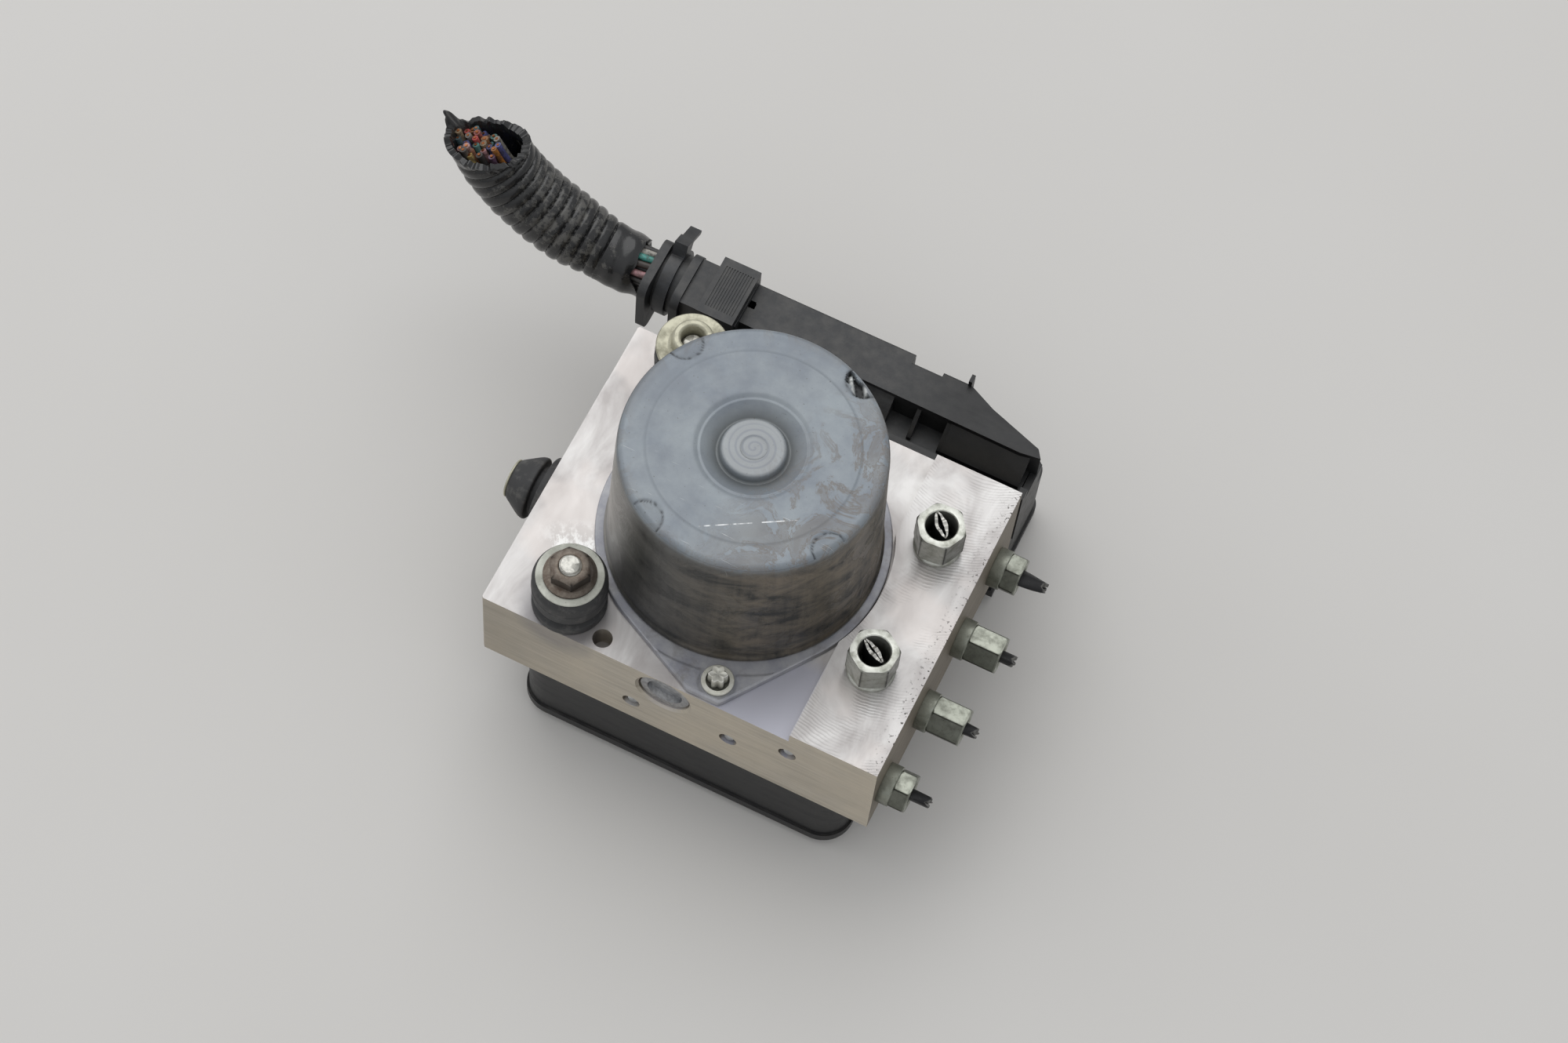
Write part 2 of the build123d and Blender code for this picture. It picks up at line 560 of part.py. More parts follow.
# The lock slide straddles the neck; its rail runs inside the shroud, and two slanted
# slots on the shroud's pegs lift the plug as the grip is pulled.
grip = block((-41.0, -30.1), (54.0, 72.4), (43.0, 60.0))
grip -= block((-42.0, -29.0), (55.6, 70.8), (42.0, 57.0))
for i in range(11):
    x = -39.4 + 0.8 * i
    grip -= block((x, x + 0.35), (56.5, 70.0), (59.75, 61))
grip += block((-41.0, -20.0), (49.7, 54.4), (50.4, 52.2))
grip += block((-24.0, -20.0), (49.7, 51.0), (42.0, 52.0))
grip += block((-24.0, 50.0), (49.7, 51.0), (30.0, 43.0))
for x, z in CAM_PEGS:
    ends = (Pos(x, z) * Circle(1.6)).edges() + (Pos(x + LOCK_TRAVEL, z - PLUG_LIFT) * Circle(1.6)).edges()
    slot = Plane(origin=(0, 52, 0), x_dir=(1, 0, 0), z_dir=(0, -1, 0)).location * extrude(make_hull(ends), 3)
    grip -= slot
parts["plug_lock_slide"] = grip

tie = turned([(8.5 + FIT, 0), (9.7, 0), (9.7, 3.6), (8.5 + FIT, 3.6)], (-54.8, *NECK), (1, 0, 0))
clasp = Pos(-53.0, *NECK) * Rot(-30, 0, 0)
head = clasp * Pos(0, 0, 11.4) * Box(4.0, 4.6, 4.2)
tail = clasp * Pos(0, 5.0, 12.4) * Box(3.4, 8.0, 1.2)
parts["cable_tie"] = tie + head + tail

# ---------------------------------------------------------------- harness
run = Spline(*HARNESS)
start = Plane(origin=run @ 0, z_dir=run % 0)
end = Plane(origin=run @ 1, z_dir=run % 1)
sleeve = start * (Circle(10.0) - Circle(7.8))
parts["harness_tape"] = sweep(sleeve, path=run)

bundle = sweep(start * Circle(7.7), path=run)
bundle += rod(6.4, (-46.0, *NECK), (-1, 0, 0), 20.0)
for layer, count, pitch_r in ((0, 1, 0.0), (1, 6, 3.0), (2, 11, 6.0)):
    for i in range(count):
        angle = 2 * math.pi * (i + 0.3 * layer) / count
        length = 4.0 + 1.6 * math.sin(2.1 * i + layer)
        wire = Cylinder(1.35, length + 2)
        spot = (pitch_r * math.cos(angle), pitch_r * math.sin(angle), length / 2)
        bundle += end.location * Pos(*spot) * wire
parts["harness_wires"] = bundle

for name, piece in parts.items():
    export_step(piece, f"parts/{name}.step")
print(len(parts), "nodes")
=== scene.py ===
# %% [markdown]
# # Brake pressure module of a car
#
# The object is the anti-lock brake unit from an engine bay: a drilled aluminium valve block, a
# pump motor in a drawn steel can on top of it, a flat plastic control box below, and a long
# wiring plug that locks along the back edge. It was cut out of a car, so its brake pipes are
# sheared off inside their nuts and its wiring loom ends in a ragged stump.
#
# The solid model arrives as a fixed frame. This script dresses it: some solids stay and get a
# finish, some are copied and get softened edges, and the pieces whose shape is really a
# surface, such as the can, the nuts and the taped loom, are worked out with numpy.

# %% Load the fixed frame
import json
import math
import bpy
import bmesh
import numpy as np
from mathutils import Matrix, Vector

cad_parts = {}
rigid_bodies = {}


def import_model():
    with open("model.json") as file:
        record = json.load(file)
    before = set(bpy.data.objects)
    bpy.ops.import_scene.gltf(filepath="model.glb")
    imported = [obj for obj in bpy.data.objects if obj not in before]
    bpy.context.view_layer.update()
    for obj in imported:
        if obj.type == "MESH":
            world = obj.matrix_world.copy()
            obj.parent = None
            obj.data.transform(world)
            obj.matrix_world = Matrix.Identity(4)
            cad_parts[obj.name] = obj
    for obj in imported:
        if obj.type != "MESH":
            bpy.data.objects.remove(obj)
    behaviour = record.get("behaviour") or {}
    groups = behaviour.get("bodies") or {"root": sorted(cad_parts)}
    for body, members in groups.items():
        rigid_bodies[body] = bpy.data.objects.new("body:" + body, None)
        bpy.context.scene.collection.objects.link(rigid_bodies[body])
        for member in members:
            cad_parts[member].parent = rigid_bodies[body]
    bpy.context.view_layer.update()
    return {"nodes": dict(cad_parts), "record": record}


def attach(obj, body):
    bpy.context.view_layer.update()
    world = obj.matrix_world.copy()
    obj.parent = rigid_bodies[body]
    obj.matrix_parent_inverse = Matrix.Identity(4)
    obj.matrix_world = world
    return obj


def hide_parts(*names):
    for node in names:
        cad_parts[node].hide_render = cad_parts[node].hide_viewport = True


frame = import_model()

# %% [markdown]
# ## Camera
#
# The unit is seen from above its front left corner, from about a metre away, through a long
# lens. A camera is easiest to place by where it stands, what it looks at, and how far it rolls
# about its line of sight, so those three values make its turn here.

# %% The camera
MM = 0.001
STANDS_AT = Vector((148.8, -402.6, 944.3)) * MM
LOOKS_AT = Vector((6.16, 12.53, 50.0)) * MM
ROLL = math.radians(7.58)
LENS_MM = 86.4

camera = bpy.data.objects.new("camera", bpy.data.cameras.new("camera"))
bpy.context.collection.objects.link(camera)
turn = (LOOKS_AT - STANDS_AT).to_track_quat("-Z", "Y")
camera.matrix_world = (Matrix.Translation(STANDS_AT) @ turn.to_matrix().to_4x4()
                       @ Matrix.Rotation(ROLL, 4, "Z"))
camera.data.lens = LENS_MM
camera.data.sensor_width = 36.0
camera.data.clip_start = 0.01
bpy.context.scene.camera = camera
print("camera stands", round((LOOKS_AT - STANDS_AT).length, 3), "m away")

# %% [markdown]
# ## Colours and nodes
#
# Colours are chosen as ordinary screen values, but a shader counts light, so each one is turned
# to linear values first. The curve has a short straight foot and a power of 2.4 above it.
#
# Every pattern below is worked out from the piece's own object coordinates. They are in metres,
# and one Vector Math node turns them into millimetres, so that a noise of scale 2 has features
# of half a millimetre.

# %% Colour and node helpers
def linear(code, alpha=1.0):
    """A hex colour such as 'B0B4B8' as linear red, green, blue and alpha."""
    screen = np.array([int(code[i:i + 2], 16) for i in (0, 2, 4)]) / 255.0
    light = np.where(screen <= 0.04045, screen / 12.92, ((screen + 0.055) / 1.055) ** 2.4)
    return (*light.tolist(), alpha)


def feed(node, inputs):
    """Gives a node its inputs, each named by its socket's name or number.

    A value is a constant, a hex colour, another node's output, or another node, which stands
    for the first of its outputs that is in use.
    """
    for socket, value in inputs.items():
        if isinstance(value, bpy.types.Node):
            value = next(output for output in value.outputs if output.enabled)
        if isinstance(value, bpy.types.NodeSocket):
            node.id_data.links.new(value, node.inputs[socket])
        else:
            node.inputs[socket].default_value = linear(value) if isinstance(value, str) else value


def add(tree, kind, inputs=None, **settings):
    """Adds one node with its settings and inputs."""
    node = tree.nodes.new("ShaderNode" + kind)
    for key, value in settings.items():
        setattr(node, key, value)
    feed(node, inputs or {})
    return node


def new_finish(name, metallic, roughness, **constants):
    """An empty finish: its material, node tree, shader and coordinates in millimetres."""
    material = bpy.data.materials.new(name)
    material.use_nodes = True
    tree = material.node_tree
    tree.nodes.clear()
    sockets = {"Metallic": metallic, "Roughness": roughness}
    sockets.update({key.replace("_", " "): value for key, value in constants.items()})
    shader = add(tree, "BsdfPrincipled", sockets)
    add(tree, "OutputMaterial", {"Surface": shader.outputs["BSDF"]})
    place = add(tree, "TexCoord").outputs["Object"]
    mm = add(tree, "VectorMath", {0: place, "Scale": 1000.0}, operation="SCALE")
    return material, tree, shader, mm


def region(tree, *ramps, most=1.0):
    """A mask: the product of ramps (value, where it is 0, where it is full), times most."""
    mask = most
    for value, nothing, full in ramps:
        ramp = add(tree, "MapRange", {0: value, 1: nothing, 2: full})
        mask = add(tree, "Math", {0: ramp, 1: mask}, operation="MULTIPLY")
    return mask


def coated(tree, colour, over, value, nothing, full, most=1.0):
    """Lays one colour over another: none where value is nothing, and most where it is full."""
    mask = add(tree, "MapRange", {0: value, 1: nothing, 2: full, 3: 0.0, 4: most})
    return add(tree, "Mix", {0: mask, 6: colour, 7: over}, data_type="RGBA")


def off_from(tree, value, middle):
    """How far a value is from a middle one, on either side."""
    offset = add(tree, "Math", {0: value, 1: -middle}, operation="ADD")
    return add(tree, "Math", {0: offset}, operation="ABSOLUTE")


print("mid grey 808080 is", round(linear("808080")[0], 3), "in light")

# %% [markdown]
# ## Milled aluminium
#
# The valve block is a slice of extruded aluminium bar, face milled on top and sawn and ground
# on its sides. A face mill leaves fine arcs about the path of its cutter, the sides keep dull
# straight lines, and years under a bonnet leave small black pits along the open edge. Grey
# shade round the pipe nuts and the front mount is painted into the colour. Arcs are rings about
# a far-off centre, which a wave texture gives; painted shadows are distances from the nuts;
# pits are the peaks of a fine noise.

# %% Milled aluminium: cutter arcs
milled_aluminium, tree, shader, mm = new_finish("milled_aluminium", 0.5, 0.4)
axes = add(tree, "SeparateXYZ", {0: mm}).outputs
facing = add(tree, "SeparateXYZ", {0: add(tree, "TexCoord").outputs["Normal"]}).outputs
upward = add(tree, "MapRange", {0: facing["Z"], 1: 0.5, 2: 0.9})
strip = add(tree, "MapRange", {0: axes["X"], 1: 35.0, 2: 36.0})

# With x measured from the cutter's centre line, y + sqrt(R^2 - x^2) is constant along the arc
# that a cutter of radius R leaves as it moves along Y. The arcs are drawn 0.9 mm apart, coarser
# than the real 0.2 mm, so that they show.
CUTTER_R, CUTTER_X, ARC_MM = 26.0, 46.0, 0.9
reach = add(tree, "Math", {0: axes["X"], 1: -CUTTER_X}, operation="ADD")
reach = add(tree, "Math", {0: reach, 1: reach}, operation="MULTIPLY")
reach = add(tree, "Math", {0: CUTTER_R ** 2, 1: reach}, operation="SUBTRACT")
reach = add(tree, "Math", {0: reach, 1: 1.0}, operation="MAXIMUM")
reach = add(tree, "Math", {0: reach}, operation="SQRT")
wobble = add(tree, "TexNoise", {0: mm, "Scale": 0.12, "Detail": 3.0})
phase = add(tree, "Math", {0: axes["Y"], 1: reach}, operation="ADD")
phase = add(tree, "Math", {0: wobble, 1: 2.5, 2: phase}, operation="MULTIPLY_ADD")
arcs = add(tree, "Math", {0: phase, 1: 2 * math.pi / ARC_MM}, operation="MULTIPLY")
arcs = add(tree, "Math", {0: arcs}, operation="SINE")
seen = add(tree, "TexNoise", {0: mm, "Scale": 0.07, "Detail": 4.0, "Roughness": 0.6})
seen = add(tree, "MapRange", {0: seen, 1: 0.44, 2: 0.56})
seen = add(tree, "Math", {0: seen, 1: strip}, operation="MULTIPLY")
arcs = add(tree, "Math", {0: arcs, 1: seen}, operation="MULTIPLY")
print("cutter arcs are", ARC_MM, "mm apart")

# %% Milled aluminium: the faced top
# Broad smears of polish, longer along the cutter's travel, between pinkish and white metal.
smear_space = add(tree, "Mapping", {0: mm, "Scale": (0.075, 0.04, 0.06), "Rotation": (0, 0, 0.5)})
smears = add(tree, "TexNoise", {0: smear_space, "Scale": 1.0, "Detail": 7.0, "Roughness": 0.6,
                                "Distortion": 0.7})
clouds = add(tree, "TexNoise", {0: mm, "Scale": 0.045, "Detail": 3.0, "Roughness": 0.55})
smear_mask = add(tree, "MapRange", {0: smears, 1: 0.36, 2: 0.66})
top_tint = add(tree, "Mix", {0: smear_mask, 6: "B0ABA9", 7: "D2D0CE"}, data_type="RGBA")
top_tint = coated(tree, top_tint, "CDC6C2", clouds, 0.50, 0.62, 0.7)

# A corner on the right of the front screw was never faced, and stays smooth and lilac grey.
lilac = region(tree, (axes["Y"], -22.0, -27.0), (axes["X"], 10.0, 16.0), (axes["X"], 36.0, 35.4))
top_tint = add(tree, "Mix", {0: lilac, 6: top_tint, 7: "B3B3BD"}, data_type="RGBA")

# Behind the front mount a fan of bright scratches: streaks that vary with the angle about it.
beside = add(tree, "VectorMath", {0: mm, 1: (-32.0, -37.3, 58.0)}, operation="SUBTRACT")
about = add(tree, "SeparateXYZ", {0: beside}).outputs
turn = add(tree, "Math", {0: about["Y"], 1: about["X"]}, operation="ARCTAN2")
away = add(tree, "VectorMath", {0: beside}, operation="LENGTH")
slow = add(tree, "Math", {0: away, 1: 0.03}, operation="MULTIPLY")
fan_space = add(tree, "CombineXYZ", {0: turn, 1: slow})
fan = add(tree, "TexNoise", {0: fan_space, "Scale": 9.0, "Detail": 5.0, "Roughness": 0.7})
fan = add(tree, "MapRange", {0: fan, 1: 0.46, 2: 0.56})
in_fan = region(tree, (away, 24.0, 15.0), (off_from(tree, turn, 1.75), 0.75, 0.45))
fan_tint = add(tree, "Mix", {0: fan, 6: "BBB7B4", 7: "E8E8E6"}, data_type="RGBA")
top_tint = add(tree, "Mix", {0: in_fan, 6: top_tint, 7: fan_tint}, data_type="RGBA")
print("the faced top makes it", len(tree.nodes), "nodes")

# %% Milled aluminium: the sawn sides
# Lines along X and Y, fine in Z, in a warm grey that has begun to tarnish.
side_space = add(tree, "Mapping", {0: mm, "Scale": (0.05, 0.05, 0.9)})
lines = add(tree, "TexNoise", {0: side_space, "Scale": 1.0, "Detail": 5.0, "Roughness": 0.7})
tarnish = add(tree, "TexNoise", {0: mm, "Scale": 0.05, "Detail": 4.0, "Roughness": 0.6})
side_tint = coated(tree, "B0A89A", "CCC4B6", lines, 0.3, 0.7)
side_tint = coated(tree, side_tint, "D2C7B4", tarnish, 0.4, 0.65, 0.55)
# The front is painted darker towards the left, as shade under the mount.
side_tint = coated(tree, side_tint, "827A6E", axes["X"], -20.0, -48.0, 0.4)
# The side with the wheel ports faces the wheel, and holds brown dirt in clouds; it is also
# painted darker as shade, since it faces away from the lamps.
dirt = coated(tree, "3F382D", "6E6457", lines, 0.25, 0.6)
side_tint = coated(tree, side_tint, dirt, facing["X"], 0.5, 0.9, 0.85)
bare = add(tree, "Mix", {0: upward, 6: side_tint, 7: top_tint}, data_type="RGBA")
print("the sides make it", len(tree.nodes), "nodes")

# %% Milled aluminium: painted shadows, grooves and pits
# Grey shade is painted within a few millimetres of the two master nuts and of the front mount.
SHADOWS = (((46.7, 19.2, 61.8), 7.0), ((46.3, -20.8, 61.8), 7.5), ((-32.0, -40.0, 58.0), 13.5))
shadow = 0.0
for centre, reach in SHADOWS:
    away = add(tree, "VectorMath", {0: mm, 1: centre}, operation="DISTANCE")
    ragged = add(tree, "Math", {0: smears, 1: 7.0, 2: away}, operation="MULTIPLY_ADD")
    near = add(tree, "MapRange", {0: ragged, 1: reach + 4.0, 2: reach - 0.5})
    shadow = add(tree, "Math", {0: near, 1: shadow}, operation="MAXIMUM")
part_shadow = add(tree, "Math", {0: shadow, 1: 0.5}, operation="MULTIPLY")
with_painted_shadows = add(tree, "Mix", {0: part_shadow, 6: bare, 7: "77757A"}, data_type="RGBA")

# The arcs also darken the colour a little, because the grooves hold grey swarf dust.
groove = add(tree, "MapRange", {0: arcs, 1: 0.0, 2: 1.0, 3: 0.0, 4: 0.36})
groove = add(tree, "Math", {0: groove, 1: upward}, operation="MULTIPLY")
with_painted_shadows = add(tree, "Mix", {0: groove, 6: with_painted_shadows, 7: "86827F"}, data_type="RGBA")

# Pits of about 0.4 mm, only along the edge above the wheel ports.
pit_noise = add(tree, "TexNoise", {0: mm, "Scale": 1.1, "Detail": 3.0})
pits = region(tree, (pit_noise, 0.60, 0.65), (axes["X"], 55.5, 60.0), (axes["Z"], 60.8, 61.6))
coloured = add(tree, "Mix", {0: pits, 6: with_painted_shadows, 7: "3B3733"}, data_type="RGBA")

polish = add(tree, "Mix", {0: smear_mask, 2: 0.46, 3: 0.34})
rough = add(tree, "Mix", {0: upward, 2: 0.5, 3: polish})
arc_height = add(tree, "Math", {0: arcs, 1: upward}, operation="MULTIPLY")
height = add(tree, "Math", {0: lines, 1: 0.5, 2: arc_height}, operation="MULTIPLY_ADD")
bump = add(tree, "Bump", {"Height": height, "Strength": 0.3, "Distance": 0.00004})
feed(shader, {"Base Color": coloured, "Roughness": rough, "Normal": bump})
print(milled_aluminium.name, "has", len(tree.nodes), "nodes")

# %% [markdown]
# ## The motor can's passivated steel
#
# The can is drawn from steel sheet and passivated blue-grey. Its flat top is satin, with faint
# rings from the spinning die and brown dust dried on in patches. The wall's dark colour is a
# painted reflection of dark surroundings, lighter on its left as a painted reflection too, and
# it has streaks along the draw. One material covers both, with the distance from the motor's
# axis choosing between them.

# %% Passivated can steel: the coat
can_steel, tree, shader, mm = new_finish("passivated_can_steel", 0.6, 0.45)
axes = add(tree, "SeparateXYZ", {0: mm}).outputs
across = add(tree, "CombineXYZ", {0: axes["X"], 1: axes["Y"]})
radius = add(tree, "VectorMath", {0: across}, operation="LENGTH")
on_top = add(tree, "MapRange", {0: radius, 1: 34.5, 2: 34.1})

# A wave texture of scale 0.314 / p repeats every p units, and the rings are 2.6 mm apart.
rings = add(tree, "TexWave", {0: across, "Scale": 0.314 / 2.6, "Distortion": 1.6, "Detail": 2.0,
                              "Detail Scale": 0.4},
            wave_type="RINGS", rings_direction="Z").outputs["Fac"]
wide = add(tree, "TexNoise", {0: mm, "Scale": 0.07, "Detail": 6.0, "Roughness": 0.62})
coat = coated(tree, "798088", "8E959A", wide, 0.38, 0.64)
ring_part = add(tree, "Math", {0: rings, 1: 0.035}, operation="MULTIPLY")
coat = add(tree, "Mix", {0: ring_part, 6: coat, 7: "A6AEB3"}, data_type="RGBA")

# A soft dark line 27 mm out, along the small step in the top.
line_off = off_from(tree, radius, 27.3)
coat = coated(tree, coat, "666D74", line_off, 0.6, 0.1, 0.3)

# The boss carries a spiral from the die: sin(2 pi (r / 1.7 + a / 2 pi)) within 7 mm.
angle = add(tree, "Math", {0: axes["Y"], 1: axes["X"]}, operation="ARCTAN2")
spiral = add(tree, "Math", {0: radius, 1: 2 * math.pi / 1.7, 2: angle}, operation="MULTIPLY_ADD")
spiral = add(tree, "Math", {0: spiral}, operation="SINE")
spiral = region(tree, (spiral, 0.1, 0.9), (radius, 7.2, 6.2), most=0.36)
coat = coated(tree, coat, "A0A2A2", radius, 8.6, 7.6, 0.6)
coat = add(tree, "Mix", {0: spiral, 6: coat, 7: "6F7481"}, data_type="RGBA")

# Painted shade darkens the dish, round the boss and just inside its outer ring.
coat = coated(tree, coat, "5C5F5E", axes["Z"], 109.1, 107.2, 0.7)
print("the coat makes it", len(tree.nodes), "nodes")

# %% Passivated can steel: dust and scratches
# Brown dust lies in veins on the right half of the top, and thinly along the rim.
veins = add(tree, "TexNoise", {0: mm, "Scale": 0.085, "Detail": 9.0, "Roughness": 0.7,
                               "Distortion": 0.8})
vein_lines = add(tree, "MapRange", {0: off_from(tree, veins, 0.5), 1: 0.035, 2: 0.0})
vein_areas = add(tree, "MapRange", {0: veins, 1: 0.45, 2: 0.58, 3: 0.0, 4: 0.6})
vein_mask = add(tree, "Math", {0: vein_lines, 1: vein_areas}, operation="MAXIMUM")
right_side = add(tree, "VectorMath", {0: mm, 1: (0.96, -0.27, 0.0)}, operation="DOT_PRODUCT")
right_mask = add(tree, "MapRange", {0: right_side, 1: 4.0, 2: 20.0, 3: 0.06, 4: 0.72})
rim_mask = add(tree, "MapRange", {0: radius, 1: 30.0, 2: 33.5, 3: 0.0, 4: 0.35})
where = add(tree, "Math", {0: right_mask, 1: rim_mask}, operation="MAXIMUM")
dust = add(tree, "Math", {0: vein_mask, 1: where}, operation="MULTIPLY")
top_colour = add(tree, "Mix", {0: dust, 6: coat, 7: "7C736A"}, data_type="RGBA")

# Fine dark specks, and a few white scratches about 24 degrees off X, low on the top's front.
specks = add(tree, "TexNoise", {0: mm, "Scale": 1.6, "Detail": 2.0})
top_colour = coated(tree, top_colour, "55524E", specks, 0.69, 0.75, 0.55)
scratch_space = add(tree, "Mapping", {0: mm, "Scale": (0.11, 2.6, 0.0), "Rotation": (0, 0, -0.42)})
scratches = add(tree, "TexNoise", {0: scratch_space, "Scale": 1.0, "Detail": 2.0})
scratches = region(tree, (scratches, 0.70, 0.74), (axes["Y"], -10.0, -18.0), most=0.7)
top_colour = add(tree, "Mix", {0: scratches, 6: top_colour, 7: "D2D4D4"}, data_type="RGBA")

# One long white scratch across the low front of the top, broken into dashes.
from_line = add(tree, "VectorMath", {0: mm, 1: (-0.519, 0.855, 0.0)}, operation="DOT_PRODUCT")
from_line = off_from(tree, from_line, -21.14)
along_line = add(tree, "VectorMath", {0: mm, 1: (0.855, 0.519, 0.0)}, operation="DOT_PRODUCT")
dashes = add(tree, "TexNoise", {"W": along_line, "Scale": 0.35, "Detail": 3.0},
             noise_dimensions="1D")
long_scratch = region(tree, (from_line, 0.20, 0.08), (dashes, 0.44, 0.58),
                      (off_from(tree, along_line, -3.0), 13.0, 11.0))
top_colour = add(tree, "Mix", {0: long_scratch, 6: top_colour, 7: "E9EAEA"}, data_type="RGBA")

# The stakes' outlines are black with old grime; the torn one's slot is painted black as shade,
# and bright shards of steel show in it.
marks = add(tree, "Attribute", attribute_name="point_colour")
marks = add(tree, "SeparateColor", {0: marks}).outputs
top_colour = add(tree, "Mix", {0: marks[0], 6: top_colour, 7: "17181A"}, data_type="RGBA")
top_colour = add(tree, "Mix", {0: marks[1], 6: top_colour, 7: "C6C8C6"}, data_type="RGBA")
print("dust and scratches make it", len(tree.nodes), "nodes")

# %% Passivated can steel: the wall
# The wall: painted dark, as a reflection of dark surroundings, with blotches a little longer
# round the can than up it, and brown stains on the right. Faint streaks run up it, 30 times
# longer than they are wide.
streak_space = add(tree, "Mapping", {0: mm, "Scale": (0.55, 0.55, 0.02)})
streaks = add(tree, "TexNoise", {0: streak_space, "Scale": 1.0, "Detail": 4.0, "Roughness": 0.6})
blotch_space = add(tree, "Mapping", {0: mm, "Scale": (0.07, 0.07, 0.16)})
blotches = add(tree, "TexNoise", {0: blotch_space, "Scale": 1.0, "Detail": 8.0, "Roughness": 0.66,
                                  "Distortion": 0.5})
mottle = add(tree, "Math", {0: streaks, 1: 0.22, 2: blotches}, operation="MULTIPLY_ADD")
mottle = add(tree, "MapRange", {0: mottle, 1: 0.48, 2: 0.76})
wall_colour = add(tree, "Mix", {0: mottle, 6: "353534", 7: "545350"}, data_type="RGBA")
stain = add(tree, "MapRange", {0: right_side, 1: 2.0, 2: 26.0, 3: 0.0, 4: 0.9})
stain = add(tree, "Math", {0: stain, 1: mottle}, operation="MULTIPLY")
wall_colour = add(tree, "Mix", {0: stain, 6: wall_colour, 7: "7C7264"}, data_type="RGBA")
# The left of the wall is painted lighter, as a painted reflection.
wall_colour = coated(tree, wall_colour, "A19F9A", right_side, -6.0, -26.0, 0.85)
colour = add(tree, "Mix", {0: on_top, 6: wall_colour, 7: top_colour}, data_type="RGBA")
metal_part = add(tree, "Mix", {0: on_top, 2: 0.45, 3: 0.2})
gloss = add(tree, "Mix", {0: on_top, 2: 0.36, 3: 0.42})
grime = add(tree, "Math", {0: dust, 1: 0.35, 2: gloss}, operation="MULTIPLY_ADD")
orange_peel = add(tree, "TexNoise", {0: mm, "Scale": 1.1, "Detail": 3.0})
relief = add(tree, "Math", {0: rings, 1: 0.12, 2: orange_peel}, operation="MULTIPLY_ADD")
relief = add(tree, "Math", {0: scratches, 1: -0.6, 2: relief}, operation="MULTIPLY_ADD")
bump = add(tree, "Bump", {"Height": relief, "Strength": 0.3, "Distance": 0.00005})
feed(shader, {"Base Color": colour, "Metallic": metal_part, "Roughness": grime, "Normal": bump})
print(can_steel.name, "has", len(tree.nodes), "nodes")

# %% Blue-violet passivation on the flange
flange_steel, tree, shader, mm = new_finish("passivated_flange_steel", 0.3, 0.42)
blotches = add(tree, "TexNoise", {0: mm, "Scale": 0.16, "Detail": 7.0, "Roughness": 0.66})
colour = coated(tree, "92939B", "AAAAAD", blotches, 0.4, 0.66)
soiled = add(tree, "TexNoise", {0: mm, "Scale": 0.09, "Detail": 8.0, "Roughness": 0.7})
colour = coated(tree, colour, "6E675F", soiled, 0.52, 0.66, 0.6)
bump = add(tree, "Bump", {"Height": blotches, "Strength": 0.3, "Distance": 0.0001})
feed(shader, {"Base Color": colour, "Normal": bump})
print(flange_steel.name, "has", len(tree.nodes), "nodes")

# %% [markdown]
# ## Moulded plastic
#
# The control box, its lid, the plug and the cable tie are glass-filled nylon and PBT, injection
# moulded in black. The mould is spark eroded, so the skin has a fine grain of about 0.3 mm, and
# dust sits in it and on whatever faces up. One function makes all of them, because they differ
# only in how grey they have gone and how much dust they hold. The hood's right end is painted
# nearly black, as painted shade.

# %% Black plastic finishes
def moulded_plastic(name, body, scuffed, dust_level, roughness):
    """Plastic with a spark-eroded grain: body colour, paler scuffs, and dust on upward faces."""
    material, tree, shader, mm = new_finish(name, 0.0, roughness, IOR=1.5)
    scuff_space = add(tree, "Mapping", {0: mm, "Scale": (0.10, 0.35, 0.35)})
    scuffs = add(tree, "TexNoise", {0: scuff_space, "Scale": 1.0, "Detail": 6.0, "Roughness": 0.65})
    scuff_mask = add(tree, "MapRange", {0: scuffs, 1: 0.45, 2: 0.75})
    skin = add(tree, "Mix", {0: scuff_mask, 6: body, 7: scuffed}, data_type="RGBA")
    facing = add(tree, "SeparateXYZ", {0: add(tree, "TexCoord").outputs["Normal"]}).outputs
    lying = add(tree, "TexNoise", {0: mm, "Scale": 0.22, "Detail": 7.0, "Roughness": 0.7})
    dust = region(tree, (lying, 0.4, 0.7), (facing["Z"], 0.3, 1.0), most=dust_level)
    colour = add(tree, "Mix", {0: dust, 6: skin, 7: "8A857D"}, data_type="RGBA")
    axes = add(tree, "SeparateXYZ", {0: mm}).outputs
    # Painted shade: the hood's right end is painted nearly black.
    painted_hood_shade = region(tree, (axes["X"], 12.0, 34.0), (axes["Y"], 42.0, 48.0), most=0.8)
    colour = add(tree, "Mix", {0: painted_hood_shade, 6: colour, 7: "0B0B0C"}, data_type="RGBA")
    dulled = add(tree, "Math", {0: scuff_mask, 1: 0.15, 2: roughness}, operation="MULTIPLY_ADD")
    grain = add(tree, "TexNoise", {0: mm, "Scale": 3.0, "Detail": 2.0})
    bump = add(tree, "Bump", {"Height": grain, "Strength": 0.35, "Distance": 0.00004})
    feed(shader, {"Base Color": colour, "Roughness": dulled, "Normal": bump})
    return material


box_plastic = moulded_plastic("pbt_black", "141415", "242425", 0.10, 0.42)
lid_plastic = moulded_plastic("pbt_black_lid", "19191B", "28282A", 0.06, 0.38)
plug_plastic = moulded_plastic("nylon_grey_black", "242527", "3A3B3D", 0.16, 0.45)
slide_plastic = moulded_plastic("nylon_black", "1E1F21", "313234", 0.14, 0.40)
tie_plastic = moulded_plastic("nylon_tie", "202124", "3A3C40", 0.12, 0.36)
plastics = (box_plastic, lid_plastic, plug_plastic, slide_plastic, tie_plastic)
print("plastics:", [finish.name for finish in plastics])

# %% [markdown]
# ## Rubber, tape and wire
#
# The mounts are natural rubber: nearly black, with a soft sheen and a pale bloom where wax has
# come to the surface. The loom is wrapped in vinyl tape, which is glossier and creased. Wires
# take their colour from an attribute on their mesh, since each core has its own.

